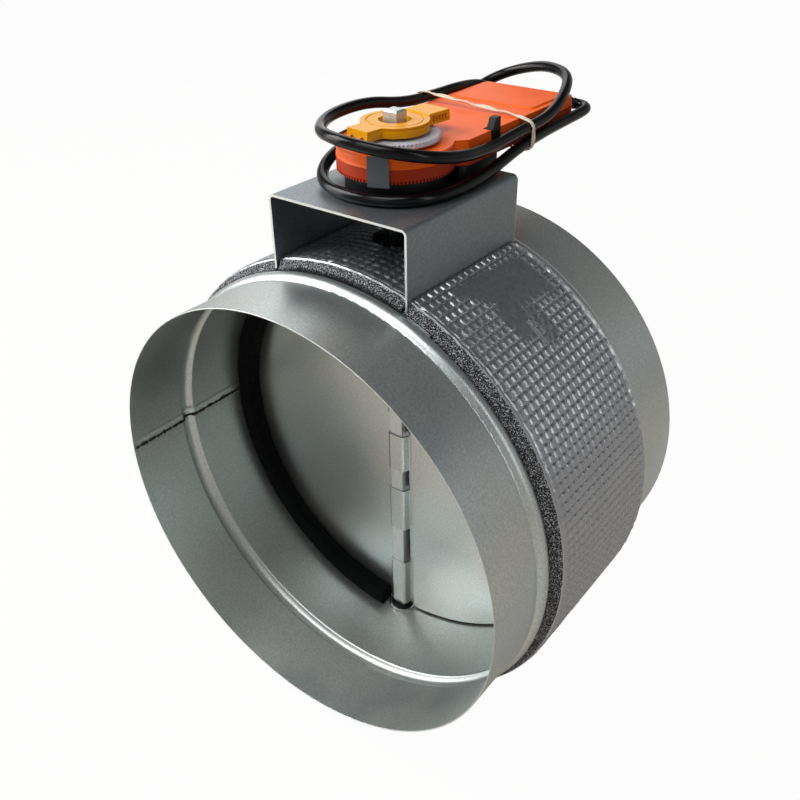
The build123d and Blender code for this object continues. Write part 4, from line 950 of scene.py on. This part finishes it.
    def half_hull(self, cloud: list[tuple[float, float]]) -> list[tuple[float, float]]:
        """Walks one side of the outline round a cloud of points.

        Args:
            cloud: The points, sorted.

        Returns:
            The corners of that side, without its last one.
        """
        hull: list[tuple[float, float]] = []
        for x, z in cloud:
            while len(hull) > 1:
                (ax, az), (bx, bz) = hull[-2:]
                if (bx - ax) * (z - az) > (bz - az) * (x - ax):
                    break
                hull.pop()
            hull.append((x, z))
        return hull[:-1]


@dataclass
class Insulation:
    """Foil-faced foam wrap of the duct: the embossed facing of the sleeve and of the pad, and their foam cores."""

    foam_inner: float = 124.8 * MM
    foam_outer: float = 131.0 * MM
    foil_outer: float = 132.2 * MM
    half_length: float = 47.5 * MM
    lean: float = 3.0 * MM
    window: float = 41.7 * MM  # half the width of the sleeve's window
    pad: float = 39.9 * MM  # half the width of the pad in it
    pad_hole: float = 13.0 * MM
    shaft_hole: float = 11.3 * MM
    drill_depth: float = 40 * MM
    foot_angle: float = 22.88
    foot_room: float = 127.1 * MM  # how far the bracket's feet and rivets reach, square to them
    foot_end: float = 55.6 * MM
    course: float = 5.05 * MM  # height of a row of cushions, round the duct
    cushion: float = 5.0 * MM  # length of a cushion, along the duct
    first_groove: float = -38.1 * MM
    relief: float = 0.8 * MM
    unevenness: float = 0.16  # share by which cushions differ in height
    flanks: tuple[float, float, float] = (0.14, 0.26, 0.18)  # shares of a cushion: across, then its two ends
    across_steps: tuple[float, ...] = (0.0, 0.14, 0.32, 0.68, 0.86)
    along_steps: tuple[float, ...] = (0.0, 0.12, 0.26, 0.48, 0.82)
    sunk_edge: float = 0.5 * MM  # how far the facing's edge dips below the grooves
    ragged: float = 0.9 * MM  # how far the facing's ends stray
    wrinkle: float = 3.2 * MM
    flat_level: float = 0.72  # share of the relief
    fold_level: float = 0.95
    fold_half_width: float = 0.45 * MM
    foam_step: float = 1.0 * MM
    cut_steps: int = 7  # from the foam's inner to its outer face, along a cut end
    cut_depth: tuple[float, float] = (0.25 * MM, 0.4 * MM)  # roughness of the cut, outwards and along the duct
    # Where the facing is pressed flat beside the bracket: degrees from the top and millimetres from the shaft
    flat: tuple[tuple[float, float], ...] = (
        (22.0, -21.5), (23.9, -21.0), (24.1, -14.5), (26.1, -13.6), (26.3, -9.3), (28.2, -9.0), (28.4, -5.9),
        (30.2, -6.2), (30.5, -12.2), (34.7, -12.4), (35.0, -10.2), (39.0, -10.0), (39.2, 1.6), (33.0, 2.2),
        (32.8, 14.0), (33.2, 26.0), (34.4, 34.5), (24.0, 35.0), (22.1, 31.5),
    )
    # The rough patch: degrees from the top, then millimetres from the shaft
    crumple: tuple[float, float, float, float] = (33.1, 42.8, 4.9, 14.2)
    folds: tuple[float, float] = (2.5 * MM, 4.0 * MM)
    border: float = 5.5 * MM

    def build(self, finishes: Finishes) -> None:
        """Makes the two facings and the two foam cores.

        Args:
            finishes: The finishes of the damper.
        """
        window_angle = math.degrees(math.asin(self.window / self.foil_outer))
        pad_angle = math.degrees(math.asin(self.pad / self.foil_outer))
        sleeve = self.facing("foil_sleeve", window_angle, 360 - window_angle)
        dress(sleeve, finishes.foil, ("sleeve_foil",))
        pad = self.facing("foil_pad", -pad_angle, pad_angle)
        self.open_hole(pad)
        dress(pad, finishes.foil, ("pad_foil",))
        for name, start, end, side, hole, node in (
            ("foam_sleeve", window_angle, 360 - window_angle, -1, self.shaft_hole, "insulation_sleeve"),
            ("foam_pad", -pad_angle, pad_angle, 1, self.pad_hole, "insulation_pad"),
        ):
            core = self.core(name, start, end)
            drill(core, (0, SHAFT_Y, side * self.foil_outer), hole, self.drill_depth)
            dress(core, finishes.foam, (node,))

    def facing(self, name: str, start: float, end: float) -> bpy.types.Object:
        """Wraps an embossed facing round the duct.

        Args:
            name: The piece's name.
            start: Angle from the top where it starts, towards +X.
            end: Angle where it ends.

        Returns:
            The facing as a mesh object.
        """
        arc = math.radians(end - start) * self.foil_outer
        courses = round(arc / self.course)
        across = [(index + step) / courses for index in range(courses) for step in self.across_steps] + [1.0]
        half = self.half_length - self.lean
        along = sorted(
            round(self.first_groove + (index + step) * self.cushion, 7)
            for index in range(-3, 20)
            for step in self.along_steps
        )
        along = [-half] + [place for place in along if abs(place) < half - 0.3 * MM] + [half]

        def place(column: int, row: int) -> tuple[float, float, float]:
            """Lays one point of the grid.

            Args:
                column: The point's column.
                row: Its row.

            Returns:
                Its place.
            """
            share, shift = across[column], along[row]
            turn = start + share * (end - start)
            height = self.height(share * courses, shift, half, turn)
            if column in (0, len(across) - 1) or row in (0, len(along) - 1):
                height = -self.sunk_edge
            near = smooth_step(half - 7 * MM, half, abs(shift))
            stray = noise.noise(Vector((turn * 0.55, shift / (9 * MM), 3.0))) * self.ragged
            shift += stray * near * (1 if abs(shift) < half - 0.5 * MM else 0.5)
            radius = self.foil_outer - self.relief + height
            angle = math.radians(turn)
            return radius * math.sin(angle), SHAFT_Y + shift, radius * math.cos(angle)

        facing = lay_grid(name, len(across), len(along), place)
        bpy.ops.object.shade_smooth_by_angle(angle=math.radians(50))
        return facing

    def height(self, row: float, shift: float, half: float, turn: float) -> float:
        """Works out the height of the facing's relief at a place.

        Args:
            row: Distance round the duct, counted in courses.
            shift: Distance along the duct from the shaft.
            half: Half the facing's length.
            turn: Degrees from the top.

        Returns:
            Height above the grooves.
        """
        course = math.floor(row + 1e-6)
        along = (shift - self.first_groove) / self.cushion
        cell = math.floor(along + 1e-6)
        across, along = row - course, along - cell
        side_flank, near_flank, far_flank = self.flanks
        slope_across = min(across, 1 - across) / side_flank
        slope_along = min(along / near_flank, (1 - along) / far_flank)
        crinkled = smooth_step(half - self.border, half - 1 * MM, abs(shift))
        swell = min(1.0, slope_across + crinkled, slope_along)
        uneven = noise.cell(Vector((course + 0.5, cell + 0.5, 0.5)))
        swell *= 1 - self.unevenness + self.unevenness * uneven
        wrinkle = noise.noise(Vector((turn * 0.9, shift / self.wrinkle, 0.0)))
        swell += (0.07 + 0.25 * crinkled) * wrinkle
        if inside(self.flat, turn, shift / MM):
            swell = self.flat_level + 0.04 * wrinkle
        low_turn, high_turn, low_shift, high_shift = self.crumple
        if low_turn < turn < high_turn:
            if low_shift < shift / MM < high_shift:
                swell = 0.45 + 1.1 * noise.noise(Vector((turn * 1.9, shift / (1.15 * MM), 7.0)))
            elif min(abs(shift - fold) for fold in self.folds) < self.fold_half_width:
                swell = self.fold_level
        edge = smooth_step(half, half - 1.2 * MM, abs(shift))
        return self.relief * min(1.0, swell) * edge

    def open_hole(self, pad: bpy.types.Object) -> None:
        """Opens the round hole for the shaft's bearing in the pad's facing.

        Args:
            pad: The pad's facing.
        """
        pick(pad)
        bpy.ops.object.mode_set(mode="EDIT")
        bpy.ops.mesh.select_mode(type="VERT")
        bpy.ops.mesh.select_all(action="DESELECT")
        bpy.ops.object.mode_set(mode="OBJECT")
        axis = Vector((0, SHAFT_Y))
        for vertex in pad.data.vertices:
            vertex.select = (vertex.co.xy - axis).length < self.pad_hole
        bpy.ops.object.mode_set(mode="EDIT")
        bpy.ops.mesh.delete(type="VERT")
        bpy.ops.object.mode_set(mode="OBJECT")
        faces_at = [0] * len(pad.data.vertices)
        for face in pad.data.polygons:
            for key in face.vertices:
                faces_at[key] += 1
        for vertex in pad.data.vertices:
            reach = vertex.co.xy - axis
            if faces_at[vertex.index] < 4 and reach.length < self.pad_hole + 2 * MM:
                reach = axis + reach.normalized() * self.pad_hole
                vertex.co = (reach.x, reach.y, vertex.co.z)

    def core(self, name: str, start: float, end: float) -> bpy.types.Object:
        """Builds a foam core with rough cut ends.

        Args:
            name: The piece's name.
            start: Angle from the top where it starts, towards +X.
            end: Angle where it ends.

        Returns:
            The closed core as a mesh object.
        """
        half, lean = self.half_length, self.lean
        inner, outer = self.foam_inner, self.foam_outer
        wall = outer - inner
        cuts = [step / self.cut_steps for step in range(1, self.cut_steps)]
        profile = [(inner, -half, 0.0)]
        profile += [(inner + wall * cut, -half + lean * cut, 1.0) for cut in cuts]
        profile += [(outer, -half + lean, 0.4), (outer, half - lean, 0.4)]
        profile += [(outer - wall * cut, half - lean + lean * cut, 1.0) for cut in cuts]
        profile += [(inner, half, 0.0)]
        outward, lengthwise = self.cut_depth
        count = round(math.radians(end - start) * outer / self.foam_step)

        def place(column: int, row: int) -> tuple[float, float, float]:
            """Lays one point of the grid.

            Args:
                column: The point's column.
                row: Its row.

            Returns:
                Its place.
            """
            radius, shift, rough = profile[column % len(profile)]
            turn = math.radians(start + (end - start) * min(1.0, max(0.0, (row - 1) / count)))
            if row in (0, count + 2):
                radius, shift, rough = (inner + outer) / 2, 0.0, 0.0
            elif column % len(profile) in (0, len(profile) - 1):
                tilt = abs((math.degrees(turn) + 180) % 360 - 180) - self.foot_angle
                if abs(radius * math.sin(turn)) < self.foot_end:
                    radius = min(outer - 1 * MM, max(radius, self.foot_room / math.cos(math.radians(tilt))))
            cells = noise.noise(Vector((math.degrees(turn) * 1.3, radius / (1.1 * MM), shift / (1.3 * MM))))
            radius += outward * rough * cells
            shift += lengthwise * rough * cells * (1 if shift > 0 else -1)
            return radius * math.sin(turn), SHAFT_Y + shift, radius * math.cos(turn)

        return lay_grid(name, len(profile) + 1, count + 3, place)


@dataclass
class BladeSeals:
    """Two half rings of black seal foam, one each side of the blade, bent into the duct."""

    outer: float = 123.55 * MM
    size: float = 9.9 * MM
    offset: float = 5.7 * MM  # from the blade's plane to a seal's middle
    end: float = 9.2 * MM  # from the shaft's plane to a seal's cut ends
    corner: float = 1.3 * MM
    step: float = 1.1 * MM
    fold: float = 0.45 * MM  # height of the folds that the bend presses up on the inner face
    fold_length: float = 1.6 * MM
    sink: float = 0.15 * MM
    ridge: float = 0.35 * MM  # along the middle of the inner face
    ridge_width: float = 0.5 * MM

    def build(self, finishes: Finishes) -> None:
        """Makes both seals.

        Args:
            finishes: The finishes of the damper.
        """
        for name, side, node in (("foam_seal_front", -1, "front_seal"), ("foam_seal_rear", 1, "rear_seal")):
            seal = self.half_ring(name, side)
            dress(seal, finishes.seal, (node,))

    def section(self, flat: float) -> list[tuple[float, float]]:
        """Draws the strip's section: a square with rounded corners.

        Args:
            flat: From the middle to where the rounding starts.

        Returns:
            Its points, outwards and along the duct from the middle.
        """
        corners = []
        for turn in (45, 135, 225, 315):
            x = flat * math.copysign(1, math.cos(math.radians(turn)))
            y = flat * math.copysign(1, math.sin(math.radians(turn)))
            angles = [math.radians(turn + bend) for bend in (-45, -15, 15, 45)]
            corners.append([(x + self.corner * math.cos(a), y + self.corner * math.sin(a)) for a in angles])
        points = []
        for corner, following in zip(corners, corners[1:] + corners[:1]):
            (ax, ay), (bx, by) = corner[-1], following[0]
            points += corner
            points += [(ax + (bx - ax) * share, ay + (by - ay) * share) for share in (0.25, 0.5, 0.75)]
        return points

    def half_ring(self, name: str, side: int) -> bpy.types.Object:
        """Bends a square foam strip into half a ring, with its inner face crumpled.

        Args:
            name: The piece's name.
            side: -1 for the front seal, 1 for the rear one.

        Returns:
            The closed strip as a mesh object.
        """
        half = self.size / 2
        flat = half - self.corner
        section = self.section(flat)
        count = round(math.pi * self.outer / self.step)
        middle = self.outer - half

        def place(column: int, row: int) -> tuple[float, float, float]:
            """Lays one point of the grid.

            Args:
                column: The point's column.
                row: Its row.

            Returns:
                Its place.
            """
            radial, along = section[column % len(section)]
            if row in (0, count + 2):
                radial, along = 0.0, 0.0
            share = min(1.0, max(0.0, (row - 1) / count))
            inner = smooth_step(-flat, -half, radial) if radial < 0 else 0.0
            walked = share * count * self.step
            fold = noise.noise(Vector((walked / self.fold_length, along / (7 * MM), side * 5.0)))
            ridge = math.exp(-((along / self.ridge_width) ** 2))
            radial += inner * (self.fold * fold - self.sink + self.ridge * ridge)
            radius = middle + radial
            cut = math.degrees(math.asin(self.end / radius))
            turn = math.radians(cut + share * (180 - 2 * cut))
            return side * radius * math.sin(turn), SHAFT_Y + side * self.offset + along, radius * math.cos(turn)

        return lay_grid(name, len(section) + 1, count + 3, place)


@dataclass
class TubeSeam:
    """The tube's lengthwise lap on its left side, and the dark ragged weld beside it, inside and outside."""

    bore: float = 123.9 * MM
    outside: float = 124.5 * MM
    bead_places: tuple[float, float] = (SHAFT_Y - 52.5 * MM, SHAFT_Y + 52.5 * MM)
    bead_centre: float = 122.625 * MM
    bead_inner: float = 4.275 * MM
    bead_outer: float = 4.875 * MM
    turn: float = 270.0  # degrees from the top, towards +X
    step: float = 0.8 * MM
    lap: float = 0.55 * MM
    lap_inset: float = 0.3 * MM  # from the tube's ends
    # Drop below the seam in millimetres, and height as a share of the lap, or of the root where it is below 0
    lap_section: tuple[tuple[float, float], ...] = (
        (0.0, -0.35), (0.0, 1.0), (-0.25, 1.05), (-2.0, 0.9), (-4.5, 0.5), (-9.0, -0.1), (-9.0, -0.35),
    )
    root: float = 0.6 * MM
    weld_inset: float = 1 * MM
    weld_drop: float = 2.3 * MM
    weld_sway: float = 0.5 * MM
    weld_radius: float = 0.95 * MM

    def build(self, finishes: Finishes) -> None:
        """Makes the lap and the weld on both faces of the tube.

        Args:
            finishes: The finishes of the damper.
        """
        for name, sign in (("inside", -1), ("outside", 1)):
            dress(self.strip(f"seam_lap_{name}", sign), finishes.tube)
            dress(self.weld(f"seam_weld_{name}", sign), finishes.oxide)

    def surface(self, along: float, sign: int) -> float:
        """Finds the radius of one of the tube's faces.

        Args:
            along: Place along the tube.
            sign: -1 for the inner face, 1 for the outer one.

        Returns:
            The radius there.
        """
        level = self.outside if sign > 0 else self.bore
        radius = self.bead_outer if sign > 0 else self.bead_inner
        for place in self.bead_places:
            shift = abs(along - place)
            if shift < radius:
                level = max(level, self.bead_centre + math.sqrt(radius**2 - shift**2))
        return level

    def strip(self, name: str, sign: int) -> bpy.types.Object:
        """Lays the lap: a thin step at its upper edge that fades into the tube below.

        Args:
            name: The piece's name.
            sign: -1 for the inner face, 1 for the outer one.

        Returns:
            The lap.
        """
        last = 2 * SHAFT_Y - self.lap_inset
        rows = round((last - self.lap_inset) / self.step)

        def place(column: int, row: int) -> tuple[float, float, float]:
            """Lays one point of the grid.

            Args:
                column: The point's column.
                row: Its row.

            Returns:
                Its place.
            """
            drop, lift = self.lap_section[column]
            along = min(self.lap_inset + row * self.step, last)
            rise = lift * (self.lap if lift > 0 else self.root)
            radius = self.surface(along, sign) + sign * rise
            turn = math.radians(self.turn) - drop * MM / radius
            return radius * math.sin(turn), along, radius * math.cos(turn)

        return lay_grid(name, len(self.lap_section), rows + 1, place)

    def weld(self, name: str, sign: int) -> bpy.types.Object:
        """Runs the ragged weld along the lap.

        Args:
            name: The piece's name.
            sign: -1 for the inner face, 1 for the outer one.

        Returns:
            The weld.
        """
        step = 0.5 * self.step
        rows = round((2 * SHAFT_Y - 2 * self.weld_inset) / step)
        line, radii = [], []
        for row in range(rows + 1):
            along = self.weld_inset + row * step
            ragged = noise.noise(Vector((along / (1.5 * MM), sign * 3.0, 0.0)))
            coarse = noise.noise(Vector((along / (4.0 * MM), sign * 9.0, 4.0)))
            radius = self.surface(along, sign) + sign * self.lap * 0.75
            turn = math.radians(self.turn) + (self.weld_drop + self.weld_sway * coarse) / radius
            line.append(Vector((radius * math.sin(turn), along, radius * math.cos(turn))))
            radii.append(self.weld_radius * max(0.3, 0.9 + 1.1 * ragged + 0.4 * coarse))
        line = [line[0], *line, line[-1]]
        return sweep_round(name, line, [0.0, *radii, 0.0], 8)


@dataclass
class CarriedNodes:
    """The model's own nodes, which keep their shape and get their finishes and softened edges."""

    merge: float = 0.001 * MM  # largest distance between points that become one
    bend: float = 35.0  # edges that bend by more degrees are rounded
    rounding: tuple[tuple[str, float], ...] = (
        ("upper_housing", 0.35 * MM), ("shaft_adapter", 0.2 * MM), ("position_disc", 0.12 * MM),
        ("actuator_base", 0.3 * MM), ("end_stop_front", 0.12 * MM), ("end_stop_rear", 0.12 * MM),
    )

    def build(self, finishes: Finishes) -> None:
        """Gives each node its finish, rounds edges of moulded ones and evens the tube's shading.

        Args:
            finishes: The finishes of the damper.
        """
        fixings = ("bracket_rivets", "base_screws", "housing_screws", "gear_pins")
        shares = (
            (finishes.tube, ("duct_casing",)),
            (finishes.foam, ("insulation_sleeve", "insulation_pad")),
            (finishes.strip, ("actuator_bracket",)),
            (finishes.plated, ("upper_bearing_ring", "lower_bearing_ring", "retaining_washer", "motor", *fixings)),
            (finishes.bar, ("drive_shaft",)),
            (finishes.blade, ("damper_blade",)),
            (finishes.black, ("upper_bush", "lower_bush", "actuator_base", "board_parts", "release_button")),
            # the lower housing takes the orange darkened as painted shade
            (finishes.shaded_orange, ("lower_housing",)),
            (finishes.orange, ("upper_housing",)),
            (finishes.natural, ("output_gear", "first_gear", "second_gear")),
            (finishes.brass, ("motor_pinion",)),
            (finishes.board, ("circuit_board",)),
            (finishes.pale, ("position_disc",)),
            (finishes.yellow, ("shaft_adapter",)),
            (finishes.grey, ("end_stop_front", "end_stop_rear")),
        )
        for finish, names in shares:
            for name in names:
                for entry in frame["nodes"][name].material_slots:
                    entry.material = finish
                log.info("%s has its finish", name)
        for name, width in self.rounding:
            bevel = self.weld(name).modifiers.new("rounding", "BEVEL")
            bevel.width = width
            bevel.segments = 2
            bevel.limit_method = "ANGLE"
            bevel.angle_limit = math.radians(self.bend)
            bevel.use_clamp_overlap = True
        self.weld("duct_casing").modifiers.new("even_shading", "WEIGHTED_NORMAL").weight = 50

    def weld(self, name: str) -> bpy.types.Object:
        """Adds a modifier that joins a node's loose triangles.

        Args:
            name: The node's name.

        Returns:
            The node.
        """
        node = frame["nodes"][name]
        node.modifiers.new("weld", "WELD").merge_threshold = self.merge
        return node


def main() -> None:
    """Builds the scene piece by piece."""
    logging.basicConfig(level=logging.INFO, format="%(name)s: %(message)s")
    finishes = Finishes()
    Camera().build()
    CableCoil().build(finishes)
    Studio().build()
    for assembly in (Insulation(), BladeSeals(), TubeSeam(), CarriedNodes()):
        assembly.build(finishes)


if __name__ == "__main__":
    main()
